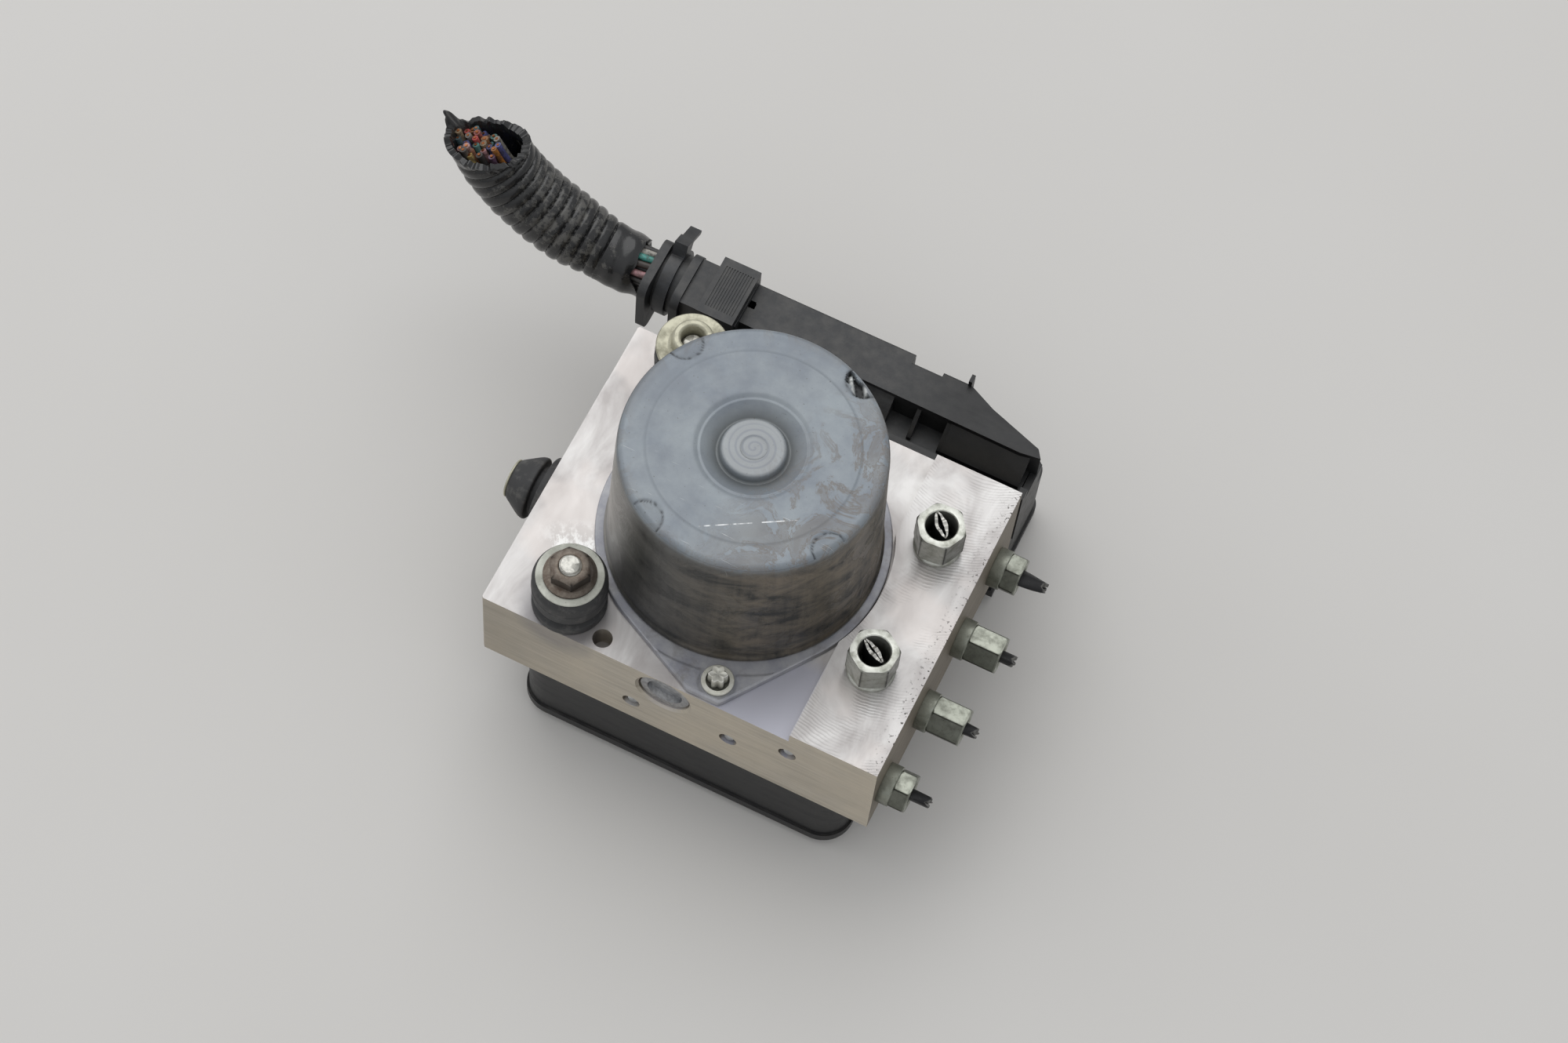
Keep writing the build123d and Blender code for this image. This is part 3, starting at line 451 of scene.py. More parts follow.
# %% Rubber for the mounts
mount_rubber, tree, shader, mm = new_finish("natural_rubber", 0.0, 0.62, IOR=1.52)
bloom = add(tree, "TexNoise", {0: mm, "Scale": 0.3, "Detail": 6.0, "Roughness": 0.7})
colour = coated(tree, "323233", "74726E", bloom, 0.5, 0.78, 0.55)
skin = add(tree, "TexNoise", {0: mm, "Scale": 2.5, "Detail": 3.0})
bump = add(tree, "Bump", {"Height": skin, "Strength": 0.4, "Distance": 0.00005})
feed(shader, {"Base Color": colour, "Normal": bump})
print(mount_rubber.name, "has", len(tree.nodes), "nodes")

# %% Vinyl tape for the loom
loom_tape, tree, shader, mm = new_finish("vinyl_tape", 0.0, 0.3, IOR=1.53)
axes = add(tree, "SeparateXYZ", {0: mm}).outputs
grime = add(tree, "TexNoise", {0: mm, "Scale": 0.3, "Detail": 8.0, "Roughness": 0.74})
# Grey is painted into the middle third of the tape: partly dust, partly a painted highlight.
dust_and_highlight_band = region(tree, (axes["X"], -106.0, -92.0), (axes["X"], -68.0, -76.0))
low_edge = add(tree, "Math", {0: dust_and_highlight_band, 1: -0.10, 2: 0.58}, operation="MULTIPLY_ADD")
high_edge = add(tree, "Math", {0: low_edge, 1: 0.10}, operation="ADD")
dust_and_highlight_mask = add(tree, "MapRange", {0: grime, 1: low_edge, 2: high_edge, 3: 0.0, 4: 0.5})
colour = add(tree, "Mix", {0: dust_and_highlight_mask, 6: "1B1B1C", 7: "6E6C67"}, data_type="RGBA")
dull = add(tree, "Math", {0: dust_and_highlight_mask, 1: 0.45, 2: 0.2}, operation="MULTIPLY_ADD")
creases = add(tree, "TexNoise", {0: mm, "Scale": 0.7, "Detail": 3.0, "Distortion": 1.2})
bump = add(tree, "Bump", {"Height": creases, "Strength": 0.3, "Distance": 0.0002})
feed(shader, {"Base Color": colour, "Roughness": dull, "Normal": bump})
print(loom_tape.name, "has", len(tree.nodes), "nodes")

# %% Wire insulation with a colour for each core
wire_pvc, tree, shader, mm = new_finish("pvc_insulation", 0.0, 0.4, IOR=1.53)
core_colour = add(tree, "Attribute", attribute_name="point_colour")
dirt = add(tree, "TexNoise", {0: mm, "Scale": 0.8, "Detail": 5.0, "Roughness": 0.7})
dirt_mask = add(tree, "MapRange", {0: dirt, 1: 0.42, 2: 0.62, 3: 0.25, 4: 0.85})
colour = add(tree, "Mix", {0: dirt_mask, 6: core_colour, 7: "3A3531"}, data_type="RGBA")
feed(shader, {"Base Color": colour})
print(wire_pvc.name, "has", len(tree.nodes), "nodes")

# %% [markdown]
# ## Plated and rusty steel
#
# Screws, pipe nuts, washers and bushes are steel with a thin zinc coat. Fresh zinc is bright
# and slightly blue; old zinc goes cream and patchy as white rust grows. The flange nut on the
# front mount has lost its coat and is brown. A function makes each plated finish from its
# bright and its dulled colour.

# %% Plated finishes
def plated_steel(name, bright, dulled, roughness, patch_mm, metallic=1.0, painted_shade_colour=None):
    """Zinc on steel: bright metal and patches of dull growth about patch_mm across.

    Where a mesh carries painted light and shade, its shaded points take the painted shade colour.
    """
    material, tree, shader, mm = new_finish(name, metallic, roughness)
    growth = add(tree, "TexNoise", {0: mm, "Scale": 1.0 / patch_mm, "Detail": 6.0,
                                    "Roughness": 0.68})
    growth_mask = add(tree, "MapRange", {0: growth, 1: 0.42, 2: 0.68})
    colour = add(tree, "Mix", {0: growth_mask, 6: bright, 7: dulled}, data_type="RGBA")
    specks = add(tree, "TexNoise", {0: mm, "Scale": 2.2, "Detail": 2.0})
    colour = coated(tree, colour, "4A443B", specks, 0.68, 0.76, 0.6)
    # Painted light and shade from the mesh: 0 takes the painted shade colour.
    if painted_shade_colour:
        shade = add(tree, "Attribute", attribute_name="point_colour").outputs["Fac"]
        colour = add(tree, "Mix", {0: shade, 6: painted_shade_colour, 7: colour}, data_type="RGBA")
    dull = add(tree, "Math", {0: growth_mask, 1: 0.22, 2: roughness}, operation="MULTIPLY_ADD")
    bump = add(tree, "Bump", {"Height": growth, "Strength": 0.2, "Distance": 0.00005})
    feed(shader, {"Base Color": colour, "Roughness": dull, "Normal": bump})
    return material


# The last colour of the bright, dull and greyed zinc is their painted shade.
bright_zinc = plated_steel("zinc_plate_bright", "E2E1D8", "C6C4B6", 0.34, 3.0, 0.5, "34352B")
cream_zinc = plated_steel("zinc_plate_cream", "BDBAA6", "94917F", 0.42, 4.0, 0.5)
nut_zinc = plated_steel("zinc_plate_dull", "CFD0C8", "ACADA1", 0.28, 2.5, 0.65, "24241D")
grey_zinc = plated_steel("zinc_plate_greyed", "A9ACA0", "8B8D82", 0.3, 2.5, 0.65, "2A2A23")
washer_zinc = plated_steel("white_rusted_zinc", "C0C1B7", "A9AAA0", 0.5, 5.0, 0.3)
stud_steel = plated_steel("stud_steel", "D2D0C8", "A5A49D", 0.4, 1.5, 0.6)
plated = (bright_zinc, cream_zinc, nut_zinc, grey_zinc, washer_zinc, stud_steel)
print("plated:", [finish.name for finish in plated])

# %% Rusty steel for the flange nut
rusted, tree, shader, mm = new_finish("rusted_steel", 0.3, 0.6)
rust = add(tree, "TexNoise", {0: mm, "Scale": 0.45, "Detail": 8.0, "Roughness": 0.72})
colour = coated(tree, "9A9084", "655549", rust, 0.36, 0.64)
# The sides are painted darker than the top, as painted shade.
facing = add(tree, "SeparateXYZ", {0: add(tree, "TexCoord").outputs["Normal"]}).outputs
colour = coated(tree, colour, "30271F", facing["Z"], 0.75, 0.35, 0.75)
# The nut's mesh carries painted light and shade; its shaded points go dark brown.
shade = add(tree, "Attribute", attribute_name="point_colour").outputs["Fac"]
colour = add(tree, "Mix", {0: shade, 6: "241E1A", 7: colour}, data_type="RGBA")
bump = add(tree, "Bump", {"Height": rust, "Strength": 0.6, "Distance": 0.00015})
feed(shader, {"Base Color": colour, "Normal": bump})
print(rusted.name, "has", len(tree.nodes), "nodes")

# %% Coated brake pipe
pipe_coat, tree, shader, mm = new_finish("coated_steel_pipe", 0.0, 0.45, IOR=1.5,
                                         Specular_IOR_Level=0.3)
paint = add(tree, "Attribute", attribute_name="point_colour").outputs
wear = add(tree, "TexNoise", {0: mm, "Scale": 0.9, "Detail": 5.0, "Roughness": 0.7})
colour = coated(tree, paint["Color"], "55524D", wear, 0.58, 0.72, 0.25)
bump = add(tree, "Bump", {"Height": wear, "Strength": 0.5, "Distance": 0.0001})
feed(shader, {"Base Color": colour, "Metallic": paint["Alpha"], "Normal": bump})
print(pipe_coat.name, "has", len(tree.nodes), "nodes")

# %% [markdown]
# ## Inner pieces
#
# Inside are the motor's armature and magnets, two pump pistons, the valves and their coils, and
# the circuit board. They show only when the unit is opened, yet each still gets its own stuff:
# two near tones of it, how metallic and how glossy it is, and the size of its grain.

# %% Finishes of the inner pieces
INNER_STUFF = {
    "core_laminations": ("6E6C6A", "4F4D4B", 0.9, 0.45, 0.6),
    "winding_enamel": ("A0522A", "7A3B1E", 0.6, 0.30, 0.5),
    "commutator_copper": ("B8754A", "8E5838", 1.0, 0.35, 0.8),
    "shaft_steel": ("B4B6B8", "8F9193", 1.0, 0.22, 1.5),
    "bearing_steel": ("C0C2C4", "9C9EA0", 1.0, 0.18, 1.5),
    "spring_steel": ("9A9B9C", "6F7072", 1.0, 0.30, 0.8),
    "ferrite": ("3A3A3C", "2A2A2C", 0.1, 0.60, 1.2),
    "phenolic": ("3B2A20", "2C1F18", 0.0, 0.50, 1.0),
    "brush_carbon": ("2B2B2C", "3A3A3B", 0.2, 0.65, 0.3),
    "seal_rubber": ("1C1C1D", "2A2A2B", 0.0, 0.60, 0.8),
    "plug_aluminium": ("B9BABC", "9A9B9D", 1.0, 0.32, 1.0),
    "valve_steel": ("B0B1B2", "8C8D8F", 1.0, 0.28, 1.0),
    "coil_moulding": ("4B3A2A", "33281E", 0.0, 0.45, 0.8),
    "bearing_bronze": ("A88A55", "86693C", 1.0, 0.40, 0.8),
    "board_green": ("1F5B3A", "17472D", 0.0, 0.40, 2.0),
    "pin_tin": ("C4C5C3", "A4A5A2", 1.0, 0.30, 0.6),
    "gasket_foam": ("2A2A2A", "3A3A39", 0.0, 0.85, 0.5),
    "screw_dark": ("5A5A58", "3F3F3E", 0.9, 0.40, 1.0),
}


def inner_finish(name, light_tone, dark_tone, metallic, roughness, grain_mm):
    """Two tones of one stuff mixed by a noise of the stuff's own grain, with its relief."""
    material, tree, shader, mm = new_finish("inner_" + name, metallic, roughness)
    grain = add(tree, "TexNoise", {0: mm, "Scale": 1.0 / grain_mm, "Detail": 4.0})
    colour = coated(tree, light_tone, dark_tone, grain, 0.35, 0.65)
    bump = add(tree, "Bump", {"Height": grain, "Strength": 0.3, "Distance": 0.00005})
    feed(shader, {"Base Color": colour, "Normal": bump})
    return material


inner = {name: inner_finish(name, *values) for name, values in INNER_STUFF.items()}
print("inner finishes:", len(inner))

# %% [markdown]
# ## Dressing the solids that stay
#
# Most solids already have their right shape, so they only need a finish in their material slot.
# The record names each node's stuff, and one table turns that name into a finish.

# %% Finish for each kind of stuff
FINISH_OF = {
    "block_aluminium": milled_aluminium, "motor_shell": can_steel, "mount_rubber": mount_rubber,
    "zinc_bright": bright_zinc, "washer_zinc": washer_zinc, "rusty_steel": rusted,
    "bush_zinc_cream": cream_zinc, "nut_plated": nut_zinc, "pipe_coated": pipe_coat,
    "ecu_plastic": box_plastic, "cover_plastic": lid_plastic, "plug_plastic": plug_plastic,
    "tie_nylon": tie_plastic, "tape_cloth": loom_tape, "wire_insulation": wire_pvc, **inner,
}
STUFF = {part["node"]: part["material_slot"] for part in frame["record"]["subparts"]}
FINISH_OF_NODE = {name: FINISH_OF[stuff] for name, stuff in STUFF.items()}
FINISH_OF_NODE["plug_lock_slide"] = slide_plastic

for name, node in frame["nodes"].items():
    for material_slot in node.material_slots:
        material_slot.material = FINISH_OF_NODE[name]
print("dressed nodes:", len(frame["nodes"]))

# %% [markdown]
# ## Softened edges
#
# A solid's edges are mathematically sharp, and nothing real is: machined aluminium is deburred
# and mouldings come out of the tool with small radii, and both catch a line of light. The
# node's own mesh is loose triangles, so a copy is merged, its flat faces are joined, and a
# bevel is laid on every edge sharper than 30 degrees.

# %% Copies with softened edges
BODY_OF_NODE = {name: node.parent.name.split(":")[-1] for name, node in frame["nodes"].items()}
SHARP_DEGREES, BEVEL_SEGMENTS = 30.0, 2


def softened(name, radius_mm):
    """A merged copy of a node with a bevel of radius_mm on its sharp edges, in its place."""
    node = frame["nodes"][name]
    mesh = node.data.copy()
    shape = bmesh.new()
    shape.from_mesh(mesh)
    bmesh.ops.remove_doubles(shape, verts=shape.verts, dist=2e-6)
    bmesh.ops.dissolve_limit(shape, angle_limit=math.radians(0.6), verts=shape.verts,
                             edges=shape.edges)
    shape.to_mesh(mesh)
    shape.free()
    mesh.materials.clear()
    mesh.materials.append(FINISH_OF_NODE[name])
    piece = bpy.data.objects.new(name + "_soft", mesh)
    bpy.context.collection.objects.link(piece)
    edge = piece.modifiers.new("softened_edges", "BEVEL")
    edge.width, edge.segments = radius_mm * MM, BEVEL_SEGMENTS
    edge.limit_method, edge.angle_limit = "ANGLE", math.radians(SHARP_DEGREES)
    edge.harden_normals = False
    mesh.shade_smooth()
    even = piece.modifiers.new("even_faces", "WEIGHTED_NORMAL")
    even.keep_sharp = False
    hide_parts(name)
    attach(piece, BODY_OF_NODE[name])
    return piece


SOFT_NODES = {
    "hydraulic_block": 0.25, "ecu_housing": 0.3, "ecu_cover": 0.3, "plug_cover": 0.3,
    "plug_lock_slide": 0.2, "cable_tie": 0.2, "rear_mount_bush": 0.25, "side_mount_bush": 0.2,
}
for name, radius_mm in SOFT_NODES.items():
    print(softened(name, radius_mm).name, "edges rounded by", radius_mm, "mm")

# %% [markdown]
# ## Surfaces from numbers
#
# The remaining pieces are surfaces: a can, rubber bobbins, nuts, threads, squeezed pipes and a
# taped loom. Each is a grid of points, worked out as whole arrays. A profile is a line of
# (radius, height) points; turning it about an axis gives a grid; and joining each grid cell's
# four corners gives the mesh. Cells that shrink to nothing at a pole or a seam are merged away,
# and the normals are set after that, so that every face points outwards.

# %% Profiles and turning
def circle(columns):
    """The angles of evenly spaced columns round a full turn."""
    return np.arange(columns) / columns * 2 * np.pi


def bell(distance, width):
    """A bell curve: 1 where the distance is 0, and 1/e one width away."""
    return np.exp(-(distance / width) ** 2)


def unit(vectors):
    """Vectors along the last axis, each divided by its own length."""
    return vectors / np.linalg.norm(vectors, axis=-1, keepdims=True)


def rounded(corners, steps=4):
    """A profile through corners (radius, height, fillet).

    Near a corner the line is start (1-t)^2 + corner 2t(1-t) + end t^2, where start and end lie
    one fillet away from the corner along its two runs.
    """
    corners = np.array(corners, float)
    point, fillet = corners[:, :2], corners[:, 2:]
    run = unit(np.diff(point, axis=0))
    start = (point[1:-1] - run[:-1] * fillet[1:-1])[:, None]
    end = (point[1:-1] + run[1:] * fillet[1:-1])[:, None]
    t = np.linspace(0, 1, steps + 1)[None, :, None]
    curves = start * (1 - t) ** 2 + point[1:-1, None] * 2 * t * (1 - t) + end * t ** 2
    return np.concatenate([point[:1], curves.reshape(-1, 2), point[-1:]])


def refined(line, spacing):
    """The same line with extra points, so that none are more than spacing apart."""
    run = np.r_[0, np.cumsum(np.linalg.norm(np.diff(line, axis=0), axis=1))]
    along = np.union1d(run, np.arange(0, run[-1], spacing))
    return np.stack([np.interp(along, run, line[:, k]) for k in range(line.shape[1])], axis=1)


def turned(profile, columns=96):
    """Turns (radius, height) about Z: x = radius cos a, y = radius sin a, z = height."""
    a = circle(columns)
    radius, height = profile[:, :1], profile[:, 1:]
    return np.stack([radius * np.cos(a), radius * np.sin(a), height + 0 * a], axis=-1)


def stood(grid, foot, axis="Z", turn=0.0):
    """Turns a grid about its own axis, lays that axis along Z, X or -X, and moves it to foot."""
    c, s = math.cos(math.radians(turn)), math.sin(math.radians(turn))
    x, y, z = grid[..., 0] * c - grid[..., 1] * s, grid[..., 0] * s + grid[..., 1] * c, grid[..., 2]
    laid = {"Z": (x, y, z), "X": (z, y, -x), "-X": (-z, y, x)}[axis]
    return np.stack(laid, axis=-1) + np.array(foot)


one_corner = rounded([(0, 0, 0), (5, 0, 1), (5, 5, 0)])
print("a corner with a fillet becomes", len(one_corner) - 2, "points")


# %% Grid to mesh
def grey(shade):
    """Linear colours of a grid from one number for each point, 0 for black and 1 for white."""
    shade = np.clip(shade, 0, 1)[..., None]
    return np.concatenate([shade, shade, shade, np.ones_like(shade)], axis=-1)


def surface(name, grids, finish, body, nodes, ring_rows=True, sharp=35.0, colours=None):
    """Meshes one or more grids[row, column] of millimetre points as one piece in its place.

    Columns always close on themselves. Rows close too where ring_rows is true; otherwise the
    first and last rows are poles. colours are linear colours of the same grid shape.
    """
    grids = grids if isinstance(grids, list) else [grids]
    points, quads, first = [], [], 0
    for grid in grids:
        rows, columns = grid.shape[:2]
        number = first + np.arange(rows * columns).reshape(rows, columns)
        number = np.vstack([number, number[:1]]) if ring_rows else number
        beside = np.roll(number, -1, axis=1)
        corners = np.stack([number[:-1], beside[:-1], beside[1:], number[1:]], axis=-1)
        quads.append(corners.reshape(-1, 4))
        points.append(grid.reshape(-1, 3) * MM)
        first += rows * columns
    mesh = bpy.data.meshes.new(name)
    mesh.from_pydata(np.concatenate(points).tolist(), [], np.concatenate(quads).tolist())
    if colours is not None:
        layer = mesh.attributes.new("point_colour", "FLOAT_COLOR", "POINT")
        layer.data.foreach_set("color", np.concatenate([c.reshape(-1, 4) for c in colours]).ravel())
    shape = bmesh.new()
    shape.from_mesh(mesh)
    bmesh.ops.remove_doubles(shape, verts=shape.verts, dist=1e-6)
    bmesh.ops.recalc_face_normals(shape, faces=shape.faces)
    open_edges = sum(len(edge.link_faces) != 2 for edge in shape.edges)
    shape.to_mesh(mesh)
    shape.free()
    mesh.materials.append(finish)
    mesh.shade_smooth()
    mesh.set_sharp_from_angle(angle=math.radians(sharp))
    piece = bpy.data.objects.new(name, mesh)
    bpy.context.collection.objects.link(piece)
    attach(piece, body)
    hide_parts(*nodes)
    print(name, len(mesh.polygons), "faces,", open_edges, "open edges")
    return piece


# %% [markdown]
# ## The motor can
#
# The can is deep drawn from one disc: a slightly tapered wall, a rolled rim, and a pressed dish
# with a boss that holds the top bearing. Four half-moon stakes were struck into the rim to hold
# the magnets' ring, and one of them has torn open. It could be a lathe shape with the stakes
# painted on, but their edges catch the light, so here the turned grid is pushed down inside
# each half moon, by an amount that depends on the distance from the stake's centre.

# %% Can profile
CAN_OUTSIDE = [
    (0, 109.3, 0), (3.0, 109.32, 0.5), (3.3, 109.45, 0.4), (8.1, 109.4, 0.7), (8.75, 107.3, 0.3),
    (9.3, 107.0, 0.3), (10.7, 107.8, 1.0), (12.5, 108.85, 0.8), (13.5, 109.55, 0.3),
    (14.0, 109.4, 0.25), (15.2, 109.98, 0.6), (26.8, 110.0, 0.3), (27.3, 109.85, 0.3),
    (33.6, 109.85, 1.5), (34.35, 107.8, 1.0), (36.05, 64.0, 1.0), (36.1, 62.4, 0.6),
    (36.75, 61.6, 0.5), (36.75, 60.7, 0.4), (36.5, 59.9, 0),
]
CAN_INSIDE = [(32.3, 59.9, 0), (32.0, 61.0, 0.5), (32.0, 107.5, 0.5), (31.0, 107.6, 0.3),
              (13.0, 107.6, 0)]
CAN_COLUMNS = 480
STAKE_ANGLES = np.radians([-29.9, -117.3, 146.8])
TORN_ANGLE = math.radians(60.5)
STAKE_R, STAKE_CENTRE = 4.55, 33.75


def step_down(distance, width):
    """1 well inside, 0 well outside, and a smooth s-curve of that width about distance 0."""
    t = np.clip(0.5 - distance / width, 0, 1)
    return t * t * (3 - 2 * t)


def past_stake(x, y, angle):
    """Distance outward from the ring of the stake at that angle, below 0 inside the ring."""
    away = np.hypot(x - STAKE_CENTRE * np.cos(angle), y - STAKE_CENTRE * np.sin(angle))
    return away - STAKE_R


corner_line = rounded(CAN_OUTSIDE)
top_points = int((corner_line[:, 1] > 106.5).sum())
profile = np.concatenate([refined(corner_line[:top_points], 0.6),
                          refined(corner_line[top_points - 1:], 4.0)])
can = turned(profile, CAN_COLUMNS)
x, y, z = can[..., 0], can[..., 1], can[..., 2].copy()
flat_top = (z > 109.0) & (np.hypot(x, y) > 16)
for angle in STAKE_ANGLES:
    past = past_stake(x, y, angle)
    can[..., 2] -= flat_top * (0.28 * bell(past, 0.32) + 0.14 * step_down(past, 0.5))
past = past_stake(x, y, TORN_ANGLE)
across = (x * np.sin(TORN_ANGLE) - y * np.cos(TORN_ANGLE)) / STAKE_R
beyond = x * np.cos(TORN_ANGLE) + y * np.sin(TORN_ANGLE) - STAKE_CENTRE
chord = 1.25 + 0.35 * np.sin(2.2 * across + 0.8) + 0.25 * np.sin(6.1 * across)
slot = np.abs(beyond + 2.3 + 0.3 * across) - chord
hole = flat_top * step_down(past + 0.1, 0.4) * step_down(slot, 0.3)
shard = np.clip(1.4 * np.sin(4.0 * across + 1.6 * beyond + 1.0) - 0.2, 0, 1)
shard = hole * shard * step_down(np.abs(across) - 0.75, 0.3)
can[..., 2] -= 1.9 * hole - 1.5 * shard + flat_top * 0.25 * bell(past, 0.32)
# The torn slot is painted black as shade, except on its shards; the outlines are grime.
black = np.maximum(hole - shard, 0.8 * flat_top * bell(past, 0.3))
for angle in STAKE_ANGLES:
    past = past_stake(x, y, angle)
    ring = 0.75 * bell(past, 0.22) + 0.14 * step_down(past, 0.4)
    black = np.maximum(black, flat_top * ring)
marks = np.stack([black, shard, 0 * shard, 1 + 0 * shard], axis=-1)
print("can profile", len(profile), "points, grid", can.shape)

# %% Can wall and its dents
# The wall waves by a few hundredths of a millimetre, which is what breaks up its reflection.
angle = np.arctan2(y, x)
wave = 0.045 * np.sin(3 * angle + 0.05 * z) + 0.03 * np.sin(7 * angle - 0.11 * z + 1.0)
wall = step_down(np.abs(z - 86) - 19, 6)
can[..., :2] *= (1 + wall * wave / 35)[..., None]
inside = turned(rounded(CAN_INSIDE), CAN_COLUMNS)
lid_hole = turned(np.array([(10.0, 106.4), (0.0, 106.4)]), CAN_COLUMNS)
unmarked = np.tile([0.0, 0.0, 0.0, 1.0], (len(inside) + len(lid_hole), CAN_COLUMNS, 1))
surface("motor_can", np.concatenate([can, inside, lid_hole]), can_steel, "module",
        ["motor_housing"], ring_rows=False, sharp=40,
        colours=[np.concatenate([marks, unmarked])])

# %% [markdown]
# ## The can's flange
#
# The can ends in a flat flange with two ears for its screws. In plan its edge is the hull of a
# large circle and a small one about each screw. Seen from the axis, the edge in each direction
# is the farthest of the large circle, the small circle and the straight tangent between them,
# so the plate is a grid in angle, with its profile stretched out to that edge.

# %% Flange with ears
FLANGE_R, FLANGE_COLUMNS = 39.0, 720
FRONT_TRIM = -46.4
EARS = (((10.8, -41.0), 6.9), ((-11.9, 39.2), 4.2))


def hull_edge(a, centre, ear_r):
    """Distance from the axis to the hull of the flange circle and one ear, in direction a."""
    reach, bearing = math.hypot(*centre), math.atan2(centre[1], centre[0])
    off = np.angle(np.exp(1j * (a - bearing)))
    lean = math.acos((FLANGE_R - ear_r) / reach)
    tangent = FLANGE_R / np.cos(np.abs(off) - lean)
    inside_ear = np.sqrt(np.maximum(ear_r ** 2 - (reach * np.sin(off)) ** 2, 0))
    ear = reach * np.cos(off) + inside_ear
    touch = math.atan2(ear_r * math.sin(lean), reach + ear_r * math.cos(lean))
    edge = np.where(np.abs(off) < touch, ear, tangent)
    return np.where(np.abs(off) < lean, edge, FLANGE_R)


def plate_edge(a, inset):
    """The flange's edge in direction a, drawn in by inset and trimmed straight at the front."""
    edge = np.maximum(hull_edge(a, *EARS[0]), hull_edge(a, *EARS[1])) - inset
    straight = (FRONT_TRIM + inset) / np.minimum(np.sin(a), -1e-3)
    return np.minimum(edge, straight)


# Each row is (part of the way out, inset, height): under, up the edge, and in over the top.
a = circle(FLANGE_COLUMNS)
edge = plate_edge(a, 0.0)
rows = [(0, 0, 58.02), (1, 0.15, 58.02), (1, 0, 58.2), (1, 0, 59.6), (1, 0.1, 59.88),
        (1, 0.35, 60.0)]
rows += [(way, 0.35 * way, 60.0) for way in np.linspace(1, 0, 36)[1:]]
way, inset, height = np.array(rows).T[:, :, None]
BORE_R = 32.3
out = BORE_R + way * (edge[None] - BORE_R) - inset
x, y = out * np.cos(a), out * np.sin(a)

# The pads: a point is on one if it lies outside the can's foot, away from the screw and off
# the edge. Each of those is a distance, and a pad's edge falls away over the smallest.
from_screw = np.hypot(x - 12.4, y + 41.0) - 5.0
from_edge = plate_edge(a, 0.5)[None] - out
ends = 18.5 - np.abs(x - 12.0)
pad = np.minimum(np.minimum(from_screw, out - 40.6), np.minimum(from_edge, ends))
pad = np.where((y < 0) & (height > 59.9), pad, -9.0)
flange = np.stack([x, y, height + 0.3 * (1 - step_down(pad, 0.35))], axis=-1)
print("flange reaches", round(float(edge.max()), 1), "mm")
surface("motor_flange", flange, flange_steel, "module",
        ["motor_housing"])

# %% Star screws of the motor
def star_edge(a, tip=2.6, valley=1.85):
    """Radius of a six-pointed star with rounded points, from a cosine of six times the angle."""
    return valley + (tip - valley) * (0.5 + 0.5 * np.cos(6 * a)) ** 0.8


def star_screw():
    """Shank, washer with a sunk ring, and a star head; and the painted light on each point."""
    a = circle(144)
    # Each row's third number is its painted light: the sunk ring and the star's lower sides are
    # painted in shade.
    round_rows = [(0.0, -11.0, 0.3), (2.1, -11.0, 0.3), (2.45, -10.6, 0.3), (2.45, 0.02, 0.3),
                  (4.2, 0.02, 0.5), (4.3, 0.15, 0.5), (4.3, 0.9, 0.8), (4.1, 1.1, 1.0),
                  (3.15, 1.12, 1.0), (3.05, 1.0, 0.5), (2.85, 0.7, 0.15)]
    star_rows = [(1.06, 0.62, 0.05), (1.0, 0.75, 0.15), (1.0, 1.6, 0.5), (1.0, 4.6, 0.8),
                 (0.97, 4.8, 1.0), (0.9, 4.9, 1.0), (0.5, 4.82, 0.95), (0.25, 4.7, 0.7),
                 (0.0, 4.68, 0.7)]
    rounds, stars = np.array(round_rows)[:, :, None], np.array(star_rows)[:, :, None]
    out = np.concatenate([rounds[:, 0] + 0 * a, stars[:, 0] * star_edge(a)])
    height = np.concatenate([rounds[:, 1], stars[:, 1]]) + 0 * a
    bright = np.concatenate([rounds[:, 2], stars[:, 2]]) + 0 * a
    return np.stack([out * np.cos(a), out * np.sin(a), height], axis=-1), bright


grid, bright = star_screw()
SCREWS = ((12.4, -41.0, 60.0), (-11.9, 39.2, 60.0))
surface("star_screws", [stood(grid, place, "Z", 22.0) for place in SCREWS],
        bright_zinc, "module", ["motor_screws"], ring_rows=False,
        sharp=30, colours=[grey(bright)] * 2)

# %% [markdown]
# ## Rubber mounts
#
# Three rubber bobbins carry the unit in its bracket: two stand on the block and one sits on its
# left side. A bobbin is a turned shape with a groove for the bracket plate, and the mould's
# parting line runs round it as a thin raised ring.

# %% Bobbins
def bobbin(height):
    """Profile of an upright bobbin: a foot, a groove, a tall body with its parting line."""
    middle = 6.6 + 0.5 * (height - 7.8)
    return rounded([
        (3.15, 0.02, 0), (9.5, 0.02, 0.3), (9.9, 0.4, 0.3), (9.9, 3.1, 0.4), (8.0, 3.8, 0.4),
        (8.0, 5.8, 0.4), (9.9, 6.6, 0.5),
        (9.85, middle - 0.25, 0.1), (10.02, middle, 0.1), (9.85, middle + 0.25, 0.1),
        (9.9, height - 1.4, 0.9), (8.9, height, 0.3), (3.15, height, 0),
    ])


